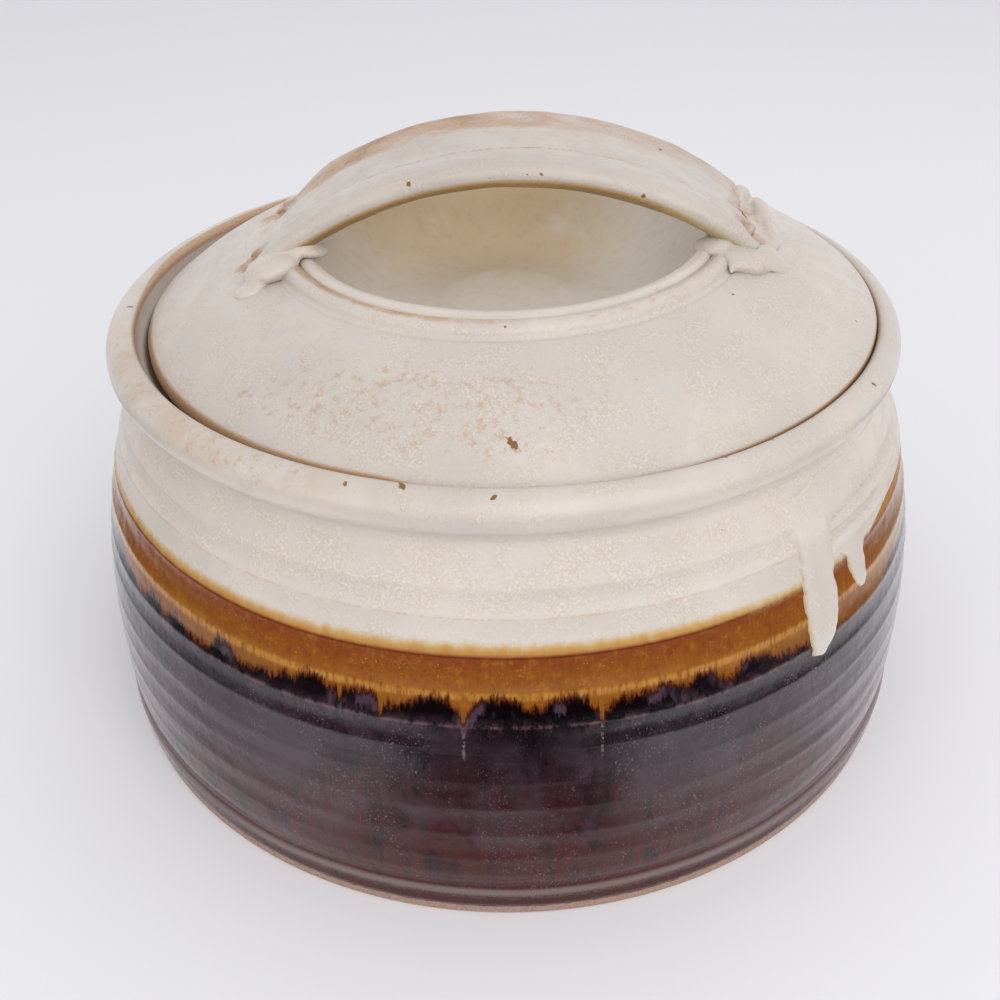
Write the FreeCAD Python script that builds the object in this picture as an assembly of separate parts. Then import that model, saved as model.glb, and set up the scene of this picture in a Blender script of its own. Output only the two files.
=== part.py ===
import FreeCAD, Part
import math
import os

from FreeCAD import Vector

# A stoneware bean pot: a wheel-thrown pot with a gallery inside its rolled rim, a loose lid that
# drops into the gallery, a finger well let into the lid, and a strap of clay arched over the well.
# Millimetres, +Z up. The origin is the middle of the foot, and -Y is the front.

# Pot wall, measured outside in the grooves between the throwing rings
FOOT_RADIUS = 113.5
BELLY_RADIUS = 115.0
BELLY_HEIGHT = 16.3
NECK_RADIUS = 97.6
NECK_HEIGHT = 98.0
SHOULDER_CURVE = 2.25       # a larger power keeps the wall upright for longer before it turns in
WALL = 7.0
FLOOR = 8.0
FLOOR_COVE = 13.0           # radius where the floor turns up into the wall

# Foot
FOOT_BEVEL = 1.1
FOOT_RING_WIDTH = 15.0
FOOT_HOLLOW = 1.5
FOOT_LINE_HEIGHT = 2.8      # bare clay below, glaze above
FOOT_ROLL_BULGE = 0.9       # the glaze gathers in a thick roll just above the bare clay

# Throwing rings
LOWER_RING_COUNT = 7
LOWER_RING_TOP = 59.1
LOWER_RING_BULGE = 0.4
SHOULDER_GROOVES = (67.0, 75.0, 82.9, 88.6)
SHOULDER_RING_BULGE = 0.6
INNER_RING_COUNT = 8
INNER_RING_SCOOP = 0.5

# Rolled rim and the gallery that carries the lid
RIM_ROLL = 4.9
RIM_UNDERCUT = 55.0         # degrees below level where the roll starts
RIM_TOP = 110.1
CREST_ROUND = 1.8
GALLERY_RADIUS = 95.6
GALLERY_DEPTH = 7.2         # from the rim's crest down to the ledge
GALLERY_COVE = 5.0          # a lid pushed to one side climbs this curve
LEDGE_WIDTH = 8.6
LEDGE_NOSE = 1.5
LEDGE_TAPER = 12.0          # height over which the ledge runs back into the wall

# Lid
LID_PLAY = 2.2              # difference of radius between the gallery and the lid
LID_EDGE_THICKNESS = 4.5
LID_EDGE_ROUND = 1.9
LID_RISE = 14.7             # from the top of the edge up to the foot of the collar
LID_CROWN = 2.2             # how far the dome bulges above a straight cone
LID_SEAT_WIDTH = 6.0
SEAT_GAP = 0.3
LID_SHIFT_RIGHT = 1.8       # the lid lies against the right of the gallery
LID_SHIFT_BACK = 0.2
LID_TILT_RIGHT = 0.9        # degrees, the right side highest
LID_TILT_BACK = 0.8         # degrees, the back highest

# Collar and finger well, in radius from the middle of the lid
COLLAR_RADIUS = 56.6
COLLAR_BEAD = 2.6
COLLAR_FOOT_WIDTH = 3.3
SEAM_RADIUS = 54.2          # where the well is luted into the lid
SEAM_DEPTH = 8.0
WELL_BEAD = 2.3
WELL_LIP_RISE = 0.8         # the well's lip above the collar
WELL_DEPTH = 20.0
WELL_THICKNESS = 4.5
WELL_FLOOR_RADIUS = 16.0

# Strap handle
STRAP_GAP = 15.6            # from the well's lip up to the strap, at the middle
STRAP_ARCH_RADIUS = 94.0    # underside
STRAP_WIDTH = 43.5
STRAP_BACK = 1.0            # how far the strap's middle lies behind the lid's
STRAP_FRONT_ROLL = 6.3
STRAP_BACK_ROLL = 6.7
STRAP_GROOVE = 5.0          # thickness along the finger line between the two rolls
STRAP_LEFT_SPAN = 40.5      # degrees from the top of the arch
STRAP_RIGHT_SPAN = 37.5

# Clay pressed over the ends of the strap. Each row stands at some degrees behind the strap's
# middle and gives the clay's rise above the dome, first at its inside and then at its crest, and
# the radius where it runs out. A thumb mark is given by its degrees and radius too.
LUTING_INSIDE = 56.8
LUTING_KEY = 3.0            # how far it reaches into the dome before it is cut to fit
LEFT_LUTING = ((-26, 0.5, 0.3, 63.0), (-21, 1.3, 3.4, 66.0), (-15, 4.2, 3.4, 68.5), (0, 4.4, 3.0, 69.0),
               (14, 4.2, 3.2, 69.0), (21, 1.6, 3.8, 69.0), (27, 0.5, 0.3, 64.0))
RIGHT_LUTING = ((-30, 0.5, 0.3, 62.5), (-24, 1.2, 2.6, 65.5), (-17, 3.0, 3.0, 71.5), (-9, 4.4, 3.2, 66.5),
                (4, 4.4, 3.2, 66.5), (14, 4.2, 3.8, 67.5), (21, 2.4, 5.0, 69.0), (27, 0.5, 0.3, 64.0))
LEFT_THUMB_MARKS = ((-13, 66.0), (14, 67.0))
RIGHT_THUMB_MARKS = ((-14, 62.0), (5, 63.5))
THUMB_RADIUS = 4.5
THUMB_HEIGHT = 1.4          # of the bottom of a mark above the dome

# Thick glaze that ran down the wall
RUN_THICKNESS = 0.9
RUN_DIRECTION = -46.0       # degrees round the pot from +X
RUN_TOP = 84.5
RUN_HEM = 73.8              # lower edge of the glaze between the runs
RUN_SPREAD = 17.0
RUN_FLARE = 1.35            # width of a run at the hem over its width at the tip
LONG_RUN_PLACE = -8.2       # along the wall from the middle of the glaze
LONG_RUN_WIDTH = 9.0
LONG_RUN_TIP = 55.6
SHORT_RUN_PLACE = 10.6
SHORT_RUN_WIDTH = 6.2
SHORT_RUN_TIP = 63.6

VERTICAL = Vector(0, 0, 1)
CENTRE = Vector(0, 0, 0)


class Outline:
    """A closed outline in the plane of radius and height, drawn edge by edge and then turned."""

    def __init__(self, radius, height):
        self.start = self.here = Vector(radius, 0, height)
        self.edges = []

    def line(self, radius, height):
        end = Vector(radius, 0, height)
        self.edges.append(Part.LineSegment(self.here, end).toShape())
        self.here = end

    def arc(self, via, end):
        middle = Vector(via[0], 0, via[1])
        end = Vector(end[0], 0, end[1])
        self.edges.append(Part.Arc(self.here, middle, end).toShape())
        self.here = end

    def curve(self, *points):
        stations = [self.here] + [Vector(radius, 0, height) for radius, height in points]
        spline = Part.BSplineCurve()
        spline.interpolate(stations)
        self.edges.append(spline.toShape())
        self.here = stations[-1]

    def wire(self):
        self.line(self.start.x, self.start.z)
        return Part.Wire(self.edges)

    def face(self):
        return Part.Face(self.wire())

    def turned(self):
        return one_solid(self.face().revolve(CENTRE, VERTICAL, 360))


def one_solid(shape):
    """The largest solid of a shape, without its slivers."""
    solid = max(shape.Solids, key=lambda part: abs(part.Volume))
    if solid.Volume < 0:
        solid.reverse()
    return solid


def on_circle(centre_radius, centre_height, size, degrees):
    angle = math.radians(degrees)
    return centre_radius + size * math.cos(angle), centre_height + size * math.sin(angle)


def wall_radius(height):
    """Outside radius of the pot in the grooves between its throwing rings."""
    if height < BELLY_HEIGHT:
        below = 1 - height / BELLY_HEIGHT
        return BELLY_RADIUS - (BELLY_RADIUS - FOOT_RADIUS) * below ** 2
    above = (height - BELLY_HEIGHT) / (NECK_HEIGHT - BELLY_HEIGHT)
    return BELLY_RADIUS - (BELLY_RADIUS - NECK_RADIUS) * above ** SHOULDER_CURVE


def ring_heights():
    """Heights of the grooves, from the foot line up to the neck."""
    pitch = (LOWER_RING_TOP - FOOT_LINE_HEIGHT) / LOWER_RING_COUNT
    lower = [FOOT_LINE_HEIGHT + pitch * count for count in range(LOWER_RING_COUNT + 1)]
    return lower + list(SHOULDER_GROOVES) + [NECK_HEIGHT]


def ring_bulge(middle):
    if middle < FOOT_LINE_HEIGHT + (LOWER_RING_TOP - FOOT_LINE_HEIGHT) / LOWER_RING_COUNT:
        return FOOT_ROLL_BULGE
    return LOWER_RING_BULGE if middle < LOWER_RING_TOP else SHOULDER_RING_BULGE


def draw_outer_rings(outline, offset):
    """Draws the throwing rings upwards, each one an arc that swells out between two grooves."""
    heights = ring_heights()
    for bottom, top in zip(heights, heights[1:]):
        middle = (bottom + top) / 2
        swell = (wall_radius(middle) + ring_bulge(middle) + offset, middle)
        outline.arc(swell, (wall_radius(top) + offset, top))


def draw_rim(outline):
    """Draws the rolled rim from the neck over the crest and down to the gallery's wall."""
    roll_height = RIM_TOP - RIM_ROLL
    roll_radius = GALLERY_RADIUS + CREST_ROUND
    under = on_circle(roll_radius, roll_height, RIM_ROLL, -RIM_UNDERCUT)
    neck = (NECK_RADIUS, NECK_HEIGHT)
    hollow = (neck[0] + 0.25 * (under[0] - neck[0]), neck[1] + 0.65 * (under[1] - neck[1]))
    outline.arc(hollow, under)
    outline.arc((roll_radius + RIM_ROLL, roll_height), (roll_radius, RIM_TOP))
    round_centre = RIM_TOP - CREST_ROUND
    outline.arc(on_circle(roll_radius, round_centre, CREST_ROUND, 135), (GALLERY_RADIUS, round_centre))


def ledge_height():
    return RIM_TOP - GALLERY_DEPTH


def draw_gallery(outline):
    """Draws the gallery inwards from its wall: a cove, the ledge and the ledge's rounded nose."""
    ledge = ledge_height()
    cove_centre = (GALLERY_RADIUS - GALLERY_COVE, ledge + GALLERY_COVE)
    outline.line(GALLERY_RADIUS, cove_centre[1])
    outline.arc(on_circle(*cove_centre, GALLERY_COVE, -45), (cove_centre[0], ledge))
    nose_radius = GALLERY_RADIUS - LEDGE_WIDTH + LEDGE_NOSE
    outline.line(nose_radius, ledge)
    nose = on_circle(nose_radius, ledge - LEDGE_NOSE, LEDGE_NOSE, 135)
    outline.arc(nose, (nose_radius - LEDGE_NOSE, ledge - LEDGE_NOSE))


def inner_radius(height):
    return wall_radius(height) - WALL


def draw_inside(outline):
    """Draws the inside downwards, scooped by the thrower's fingers, and across the floor."""
    top = ledge_height() - LEDGE_TAPER
    start = outline.here
    bend = (start.x + 0.3 * (inner_radius(top) - start.x), start.z + 0.6 * (top - start.z))
    outline.arc(bend, (inner_radius(top), top))
    bottom = FLOOR + FLOOR_COVE
    pitch = (top - bottom) / INNER_RING_COUNT
    for count in range(INNER_RING_COUNT):
        middle = top - pitch * (count + 0.5)
        end = top - pitch * (count + 1)
        outline.arc((inner_radius(middle) + INNER_RING_SCOOP, middle), (inner_radius(end), end))
    cove_radius = inner_radius(bottom) - FLOOR_COVE
    outline.arc(on_circle(cove_radius, bottom, FLOOR_COVE, -45), (cove_radius, FLOOR))
    outline.line(0, FLOOR)


def pot_body():
    outline = Outline(0, FOOT_HOLLOW)
    ring_inside = FOOT_RADIUS - FOOT_RING_WIDTH
    outline.line(ring_inside - FOOT_HOLLOW, FOOT_HOLLOW)
    outline.line(ring_inside, 0)
    outline.line(FOOT_RADIUS - FOOT_BEVEL, 0)
    outline.line(wall_radius(FOOT_LINE_HEIGHT), FOOT_LINE_HEIGHT)
    draw_outer_rings(outline, 0)
    draw_rim(outline)
    draw_gallery(outline)
    draw_inside(outline)
    return outline.turned()


def glaze_skin():
    """A skin on the wall, as thick outside it as the runs of glaze that are cut from it."""
    inside = WALL / 2
    heights = ring_heights()
    outline = Outline(wall_radius(heights[-1]) - inside, heights[-1])
    for height in reversed(heights[:-1]):
        outline.line(wall_radius(height) - inside, height)
    outline.line(wall_radius(heights[0]) + RUN_THICKNESS, heights[0])
    draw_outer_rings(outline, RUN_THICKNESS)
    return outline.turned()


def draw_run(outline, place, width, tip):
    """Draws one run, wider at the hem, down to its round tip and up again."""
    half = width / 2
    outline.line(place - RUN_FLARE * half, RUN_HEM)
    outline.line(place - half, tip + half)
    outline.arc((place, tip), (place + half, tip + half))
    outline.line(place + RUN_FLARE * half, RUN_HEM)


def glaze_runs(pot):
    outline = Outline(-RUN_SPREAD, RUN_TOP)
    outline.line(-RUN_SPREAD, RUN_HEM)
    draw_run(outline, LONG_RUN_PLACE, LONG_RUN_WIDTH, LONG_RUN_TIP)
    draw_run(outline, SHORT_RUN_PLACE, SHORT_RUN_WIDTH, SHORT_RUN_TIP)
    outline.line(RUN_SPREAD, RUN_HEM)
    outline.line(RUN_SPREAD, RUN_TOP)
    cutter = outline.face().extrude(Vector(0, -BELLY_RADIUS - 4 * RUN_THICKNESS, 0))
    cutter.rotate(CENTRE, VERTICAL, RUN_DIRECTION + 90)
    return one_solid(glaze_skin().common(cutter).cut(pot))


def lid_radius():
    return GALLERY_RADIUS - LID_PLAY


def collar_foot():
    """Radius and height, above the underside of the lid's edge, where the dome meets the collar."""
    return COLLAR_RADIUS + COLLAR_FOOT_WIDTH, LID_EDGE_THICKNESS + LID_RISE


def collar_top():
    return collar_foot()[1] + COLLAR_BEAD - 0.6


def lid_cover():
    edge = lid_radius()
    foot_radius, foot_height = collar_foot()
    bead_height = collar_top() - COLLAR_BEAD
    seam_bottom = collar_top() - SEAM_DEPTH
    seat_inside = edge - LID_EDGE_ROUND - LID_SEAT_WIDTH
    outline = Outline(SEAM_RADIUS, seam_bottom)
    middle = (SEAM_RADIUS + seat_inside) / 2
    outline.arc((middle, seam_bottom / 2 + LID_CROWN), (seat_inside, 0))
    outline.line(edge - LID_EDGE_ROUND, 0)
    outline.arc(on_circle(edge - LID_EDGE_ROUND, LID_EDGE_ROUND, LID_EDGE_ROUND, -45),
                (edge, LID_EDGE_ROUND))
    upper = LID_EDGE_THICKNESS - LID_EDGE_ROUND
    outline.line(edge, upper)
    outline.arc(on_circle(edge - LID_EDGE_ROUND, upper, LID_EDGE_ROUND, 40),
                on_circle(edge - LID_EDGE_ROUND, upper, LID_EDGE_ROUND, 65))
    middle = (outline.here.x + foot_radius) / 2
    outline.arc((middle, (outline.here.z + foot_height) / 2 + LID_CROWN), (foot_radius, foot_height))
    outline.arc((foot_radius - 0.7, foot_height + 0.1),
                on_circle(COLLAR_RADIUS, bead_height, COLLAR_BEAD, 25))
    seam_angle = math.degrees(math.acos((SEAM_RADIUS - COLLAR_RADIUS) / COLLAR_BEAD))
    outline.arc((COLLAR_RADIUS, collar_top()),
                on_circle(COLLAR_RADIUS, bead_height, COLLAR_BEAD, seam_angle))
    return outline.turned()


def well_lip_top():
    return collar_top() + WELL_LIP_RISE


def lid_well():
    """The finger well: a bowl with a rolled lip, turned to fit the hole in the lid."""
    lip_radius = SEAM_RADIUS - 0.9 * WELL_BEAD
    lip_height = well_lip_top() - WELL_BEAD
    floor = well_lip_top() - WELL_DEPTH
    seam_bottom = collar_top() - SEAM_DEPTH
    outline = Outline(0, floor - WELL_THICKNESS)
    outline.line(WELL_FLOOR_RADIUS, floor - WELL_THICKNESS)
    outline.curve((0.72 * SEAM_RADIUS, floor - 0.2 * WELL_THICKNESS), (SEAM_RADIUS, seam_bottom))
    seam_angle = math.degrees(math.acos((SEAM_RADIUS - lip_radius) / WELL_BEAD))
    seam_top = on_circle(lip_radius, lip_height, WELL_BEAD, seam_angle)
    outline.line(*seam_top)
    outline.arc((lip_radius, well_lip_top()), on_circle(lip_radius, lip_height, WELL_BEAD, 190))
    inside = outline.here.x
    outline.curve((inside - 2.2, lip_height - 6), (0.62 * inside, floor + 1.6),
                  (WELL_FLOOR_RADIUS, floor))
    outline.line(0, floor)
    return outline.turned()


def strap_section():
    """The strap across its width: rolled edges and a finger line, in depth (Y) and height."""
    front = STRAP_BACK - STRAP_WIDTH / 2
    back = STRAP_BACK + STRAP_WIDTH / 2
    base = arch_centre() + STRAP_ARCH_RADIUS
    groove = STRAP_BACK - 0.14 * STRAP_WIDTH

    def at(depth, rise):
        return Vector(0, depth, base + rise)

    front_round = STRAP_FRONT_ROLL / 2
    back_round = STRAP_BACK_ROLL / 2
    edges = [
        Part.Arc(at(front + front_round, 0), at(front, front_round),
                 at(front + front_round, STRAP_FRONT_ROLL - 0.2)),
        Part.Arc(at(front + front_round, STRAP_FRONT_ROLL - 0.2),
                 at((front + groove) / 2 + 1, STRAP_FRONT_ROLL), at(groove, STRAP_GROOVE)),
        Part.Arc(at(groove, STRAP_GROOVE), at((groove + back) / 2, STRAP_GROOVE + 0.3),
                 at(back - back_round, STRAP_BACK_ROLL)),
        Part.Arc(at(back - back_round, STRAP_BACK_ROLL), at(back, back_round),
                 at(back - back_round, 0)),
        Part.LineSegment(at(back - back_round, 0), at(front + front_round, 0)),
    ]
    return Part.Face(Part.Wire([edge.toShape() for edge in edges]))


def arch_centre():
    """Height of the axis, level with Y, round which the strap arches."""
    return well_lip_top() + STRAP_GAP - STRAP_ARCH_RADIUS


def handle_strap(seats):
    axis_point = Vector(0, 0, arch_centre())
    section = strap_section()
    section.rotate(axis_point, Vector(0, 1, 0), -STRAP_LEFT_SPAN)
    strap = section.revolve(axis_point, Vector(0, 1, 0), STRAP_LEFT_SPAN + STRAP_RIGHT_SPAN)
    return one_solid(strap.cut(seats))


def dome_height(radius):
    """Height of the dome above the underside of the lid's edge."""
    foot_radius, foot_height = collar_foot()
    share = (radius - foot_radius) / (lid_radius() - foot_radius)
    return foot_height - share * LID_RISE + 4 * share * (1 - share) * LID_CROWN


def round_lid(shape, side, behind):
    """Turns a shape drawn along +X to its place by the right (1) or left (-1) end of the strap."""
    shape.rotate(CENTRE, VERTICAL, behind if side > 0 else 180 - behind)
    return shape


def luting_slice(climb, rise, toe):
    """One slice through the clay, from inside the strap over its crest and out to its toe."""
    crest = (LUTING_INSIDE + toe) / 2
    inside = dome_height(LUTING_INSIDE)
    outline = Outline(LUTING_INSIDE, inside + climb)
    outline.curve((crest, dome_height(crest) + rise), (toe, dome_height(toe) - 0.3))
    outline.line(LUTING_INSIDE, inside - LUTING_KEY)
    return outline.wire()


def thumb_marks():
    """Balls that press the marks into the clay and into the ends of the strap."""
    balls = []
    for side, marks in ((-1, LEFT_THUMB_MARKS), (1, RIGHT_THUMB_MARKS)):
        for behind, radius in marks:
            centre = Vector(radius, 0, dome_height(radius) + THUMB_HEIGHT + THUMB_RADIUS)
            balls.append(round_lid(Part.makeSphere(THUMB_RADIUS, centre), side, behind))
    return balls


def luting(side, rows, seats):
    """The clay pressed over one end of the strap, drawn out at its corners."""
    slices = [round_lid(luting_slice(climb, rise, toe), side, behind) for behind, climb, rise, toe in rows]
    return one_solid(Part.makeLoft(slices, True).cut(seats))


def seat_lid(shape):
    """Lays a piece of the lid in the gallery, pushed to the right and so a little tilted."""
    tilt = math.hypot(LID_TILT_RIGHT, LID_TILT_BACK)
    low_side = (lid_radius() - LID_EDGE_ROUND) * math.sin(math.radians(tilt))
    seated = shape.copy()
    seated.rotate(CENTRE, Vector(0, 1, 0), -LID_TILT_RIGHT)
    seated.rotate(CENTRE, Vector(1, 0, 0), LID_TILT_BACK)
    seated.translate(Vector(LID_SHIFT_RIGHT, LID_SHIFT_BACK, ledge_height() + SEAT_GAP + low_side))
    return seated


def build():
    pot = pot_body()
    cover = lid_cover()
    well = lid_well()
    seats = [cover, well] + thumb_marks()
    strap = handle_strap(seats)
    left = luting(-1, LEFT_LUTING, seats + [strap])
    right = luting(1, RIGHT_LUTING, seats + [strap])
    nodes = {"pot_body": pot, "glaze_runs": glaze_runs(pot)}
    lid = {"lid_cover": cover, "lid_well": well, "handle_strap": strap,
           "left_luting": left, "right_luting": right}
    for name, shape in lid.items():
        nodes[name] = seat_lid(shape)
    return nodes


os.makedirs("parts", exist_ok=True)
for name, shape in build().items():
    shape.exportStep("parts/" + name + ".step")
    box = shape.BoundBox
    print(name, "valid" if shape.isValid() else "INVALID", len(shape.Solids), "solid",
          round(shape.Volume / 1000, 1), "ml",
          [round(value, 1) for value in (box.XMin, box.YMin, box.ZMin, box.XMax, box.YMax, box.ZMax)])
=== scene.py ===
import math

import bpy
from bpy.props import FloatProperty, FloatVectorProperty, IntProperty, PointerProperty
from mathutils import Matrix, Vector, noise


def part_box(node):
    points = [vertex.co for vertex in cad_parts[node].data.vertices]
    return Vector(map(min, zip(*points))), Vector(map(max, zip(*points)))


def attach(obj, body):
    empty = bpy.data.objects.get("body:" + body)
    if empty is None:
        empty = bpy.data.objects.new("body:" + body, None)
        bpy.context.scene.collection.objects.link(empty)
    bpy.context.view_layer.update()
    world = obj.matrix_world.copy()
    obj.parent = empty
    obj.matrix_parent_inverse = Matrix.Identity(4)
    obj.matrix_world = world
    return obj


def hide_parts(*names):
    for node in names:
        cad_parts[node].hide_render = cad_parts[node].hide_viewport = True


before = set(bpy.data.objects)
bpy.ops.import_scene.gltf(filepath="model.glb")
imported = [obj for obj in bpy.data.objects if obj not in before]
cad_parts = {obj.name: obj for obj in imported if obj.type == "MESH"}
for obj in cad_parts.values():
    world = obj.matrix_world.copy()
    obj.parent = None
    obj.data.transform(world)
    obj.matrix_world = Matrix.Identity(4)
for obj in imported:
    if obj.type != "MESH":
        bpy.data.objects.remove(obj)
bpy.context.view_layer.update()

bl_info = {
    "name": "Stoneware Bean Pot",
    "version": (1, 0, 0),
    "blender": (4, 5, 0),
    "location": "3D View > Sidebar > Bean Pot",
    "description": "Throws, glazes and lights a lidded stoneware bean pot",
    "category": "Add Mesh",
}

POT_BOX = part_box("pot_body")
MM = 0.001


# ---------------------------------------------------------------- settings

class PotSettings(bpy.types.PropertyGroup):
    """The thrown pot."""

    steps: IntProperty(name="Steps", description="Faces round a turned piece", default=320, min=64)
    rim_top: FloatProperty(name="Rim top", description="Height of the rim's crest",
                           default=POT_BOX[1].z, unit="LENGTH", precision=4)
    foot_radius: FloatProperty(name="Foot radius", description="Outside radius of the foot",
                               default=114.1 * MM, unit="LENGTH", precision=4)
    belly_radius: FloatProperty(name="Belly radius", description="Radius where the wall is widest",
                                default=114.85 * MM, unit="LENGTH", precision=4)
    neck_radius: FloatProperty(name="Neck radius", description="Radius under the rolled rim",
                               default=97.6 * MM, unit="LENGTH", precision=4)
    wall: FloatProperty(name="Wall", description="Thickness of the wall",
                        default=7.0 * MM, unit="LENGTH", precision=4)
    wobble: FloatProperty(name="Wobble", description="How far the thrown wall strays from true",
                          default=0.5 * MM, unit="LENGTH", precision=5)


class LidSettings(bpy.types.PropertyGroup):
    """The lid: its dome, collar and finger well."""

    edge_radius: FloatProperty(name="Edge radius", description="Radius of the lid's edge",
                               default=93.9 * MM, unit="LENGTH", precision=4)
    collar_radius: FloatProperty(name="Collar radius", description="Radius of the collar's crest",
                                 default=56.6 * MM, unit="LENGTH", precision=4)
    seam_radius: FloatProperty(name="Seam radius", description="Where the well meets the collar",
                               default=54.2 * MM, unit="LENGTH", precision=4)
    collar_foot: FloatProperty(name="Collar foot", description="Height of the dome at the collar",
                               default=19.2 * MM, unit="LENGTH", precision=4)
    lean: FloatProperty(name="Lean", description="How far the well sits to the left of the lid's middle",
                        default=1.2 * MM, unit="LENGTH", precision=4)
    well_depth: FloatProperty(name="Well depth", description="From the well's lip to its floor",
                              default=20.0 * MM, unit="LENGTH", precision=4)
    tilt: FloatVectorProperty(name="Tilt", description="Rise to the back and to the right, which is negative",
                              default=(math.radians(0.8), math.radians(-0.9), 0), unit="ROTATION")
    place: FloatVectorProperty(name="Place", description="Where the middle of the lid's underside lies",
                               default=(1.8 * MM, 0.2 * MM, 105.123 * MM), unit="LENGTH", precision=4)


class GlazeSettings(bpy.types.PropertyGroup):
    """Colours of the glazes and the clay."""

    cream: FloatVectorProperty(name="Cream", description="Oatmeal glaze where it lies thick",
                               default=(0.635, 0.568, 0.505), subtype="COLOR")
    oatmeal: FloatVectorProperty(name="Oatmeal", description="Ground between the white crystals",
                                 default=(0.54, 0.43, 0.34), subtype="COLOR")
    blush: FloatVectorProperty(name="Blush", description="Pinkish tan where the oatmeal glaze lies thin",
                               default=(0.52, 0.36, 0.25), subtype="COLOR")
    tan: FloatVectorProperty(name="Tan", description="Oatmeal glaze where it breaks over an edge",
                             default=(0.56, 0.375, 0.255), subtype="COLOR")
    ochre: FloatVectorProperty(name="Ochre", description="Oatmeal glaze where hardly any is left",
                               default=(0.34, 0.19, 0.065), subtype="COLOR")
    iron: FloatVectorProperty(name="Iron", description="Iron spots",
                              default=(0.20, 0.095, 0.018), subtype="COLOR")
    amber: FloatVectorProperty(name="Amber", description="Iron glaze where the oatmeal runs out over it",
                               default=(0.26, 0.080, 0.011), subtype="COLOR")
    umber: FloatVectorProperty(name="Umber", description="Brown of the dark glaze where it is thin",
                               default=(0.058, 0.008, 0.007), subtype="COLOR")
    black: FloatVectorProperty(name="Black", description="Dark glaze where it lies thick",
                               default=(0.004, 0.002, 0.003), subtype="COLOR")
    clay: FloatVectorProperty(name="Clay", description="Bare fired clay of the foot",
                              default=(0.42, 0.285, 0.225), subtype="COLOR")


class StudioSettings(bpy.types.PropertyGroup):
    """The floor, the lamps and the camera."""

    floor: FloatVectorProperty(name="Floor", description="Colour of the floor",
                               default=(0.905, 0.895, 0.925), subtype="COLOR")
    floor_gloss: FloatProperty(name="Floor in the gloss", description="Light that the glaze sees in the floor",
                               default=0.30, min=0)
    sky: FloatProperty(name="Surround", description="Strength of the light from all round",
                       default=0.68, min=0)
    lamp: FloatProperty(name="Lamp", description="Power of the soft lamp overhead",
                        default=5.0, min=0, unit="POWER")
    camera_place: FloatVectorProperty(name="Camera", description="Where the camera stands",
                                      default=(0, -0.2731, 0.2292), unit="LENGTH", precision=4)
    camera_aim: FloatVectorProperty(name="Camera aim", description="Direction that the camera looks in",
                                    default=(-0.0066, 0.8223, -0.569), subtype="DIRECTION")
    camera_roll: FloatProperty(name="Camera roll", description="Turn of the camera about its aim",
                               default=math.radians(-0.87), unit="ROTATION")
    lens: FloatProperty(name="Lens", description="Focal length in millimetres on a 36 mm sensor",
                        default=39.6, min=10)


def settings(name):
    """One group of settings: pot, lid, glaze or studio."""
    return getattr(bpy.context.scene, "bean_pot_" + name)


# ---------------------------------------------------------------- modelling helpers

def deselect():
    bpy.ops.object.select_all(action="DESELECT")


def only(piece):
    """Selects one piece alone and makes it the active one."""
    deselect()
    piece.select_set(True)
    bpy.context.view_layer.objects.active = piece


class Profile:
    """An outline in radius and height, in millimetres, that a piece is turned from."""

    def __init__(self, radius, height):
        self.points = [(radius, height)]

    def line(self, radius, height, steps=1):
        start = self.points[-1]
        for count in range(1, steps + 1):
            share = count / steps
            self.points.append((start[0] + share * (radius - start[0]), start[1] + share * (height - start[1])))

    def round(self, centre, size, start, end, steps):
        """An arc about a centre, from one angle to another, in degrees."""
        for count in range(1, steps + 1):
            angle = math.radians(start + (end - start) * count / steps)
            self.points.append((centre[0] + size * math.cos(angle), centre[1] + size * math.sin(angle)))

    def bow(self, radius, height, swell, steps):
        """A shallow curve to a point, which swells to the left of its way by so much."""
        start = Vector(self.points[-1])
        way = Vector((radius, height)) - start
        side = Vector((-way.y, way.x)).normalized()
        for count in range(1, steps + 1):
            share = count / steps
            place = start + share * way + 4 * share * (1 - share) * swell * side
            self.points.append((place.x, place.y))

    def follow(self, radius_at, start, end, steps):
        """Follows a rule that gives the radius at each height."""
        for count in range(1, steps + 1):
            height = start + (end - start) * count / steps
            self.points.append((radius_at(height), height))

    def turned(self, name, steps, angle=2 * math.pi):
        """Draws the outline by extruding a vertex along it, and spins it round the upright axis."""
        deselect()
        bpy.ops.mesh.primitive_plane_add(size=MM)
        piece = bpy.context.object
        piece.name = piece.data.name = name
        bpy.ops.object.mode_set(mode="EDIT")
        bpy.ops.mesh.merge(type="CENTER")
        radius, height = self.points[0]
        bpy.ops.transform.translate(value=(radius * MM, 0, height * MM))
        for here, there in zip(self.points, self.points[1:]):
            step = ((there[0] - here[0]) * MM, 0, (there[1] - here[1]) * MM)
            bpy.ops.mesh.extrude_region_move(TRANSFORM_OT_translate={"value": step})
        bpy.ops.mesh.select_all(action="SELECT")
        bpy.ops.mesh.spin(steps=steps, angle=angle, center=(0, 0, 0), axis=(0, 0, 1))
        bpy.ops.mesh.select_all(action="SELECT")
        bpy.ops.mesh.remove_doubles(threshold=1e-6)
        bpy.ops.mesh.normals_make_consistent(inside=False)
        bpy.ops.object.mode_set(mode="OBJECT")
        bpy.ops.object.shade_smooth()
        return piece


def apply_modifier(piece, kind, name, **values):
    """Adds a modifier with its values set, and applies it."""
    modifier = piece.modifiers.new(name, kind)
    for key, value in values.items():
        setattr(modifier, key, value)
    only(piece)
    bpy.ops.object.modifier_apply(modifier=modifier.name)


def weigh(piece, name, weight_at):
    """A vertex group that holds weight_at(place), from 0 to 1, with places in millimetres."""
    group = piece.vertex_groups.new(name=name)
    for vertex in piece.data.vertices:
        weight = weight_at(vertex.co / MM)
        if weight > 0:
            group.add([vertex.index], min(1.0, weight), "REPLACE")
    return group.name


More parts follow.
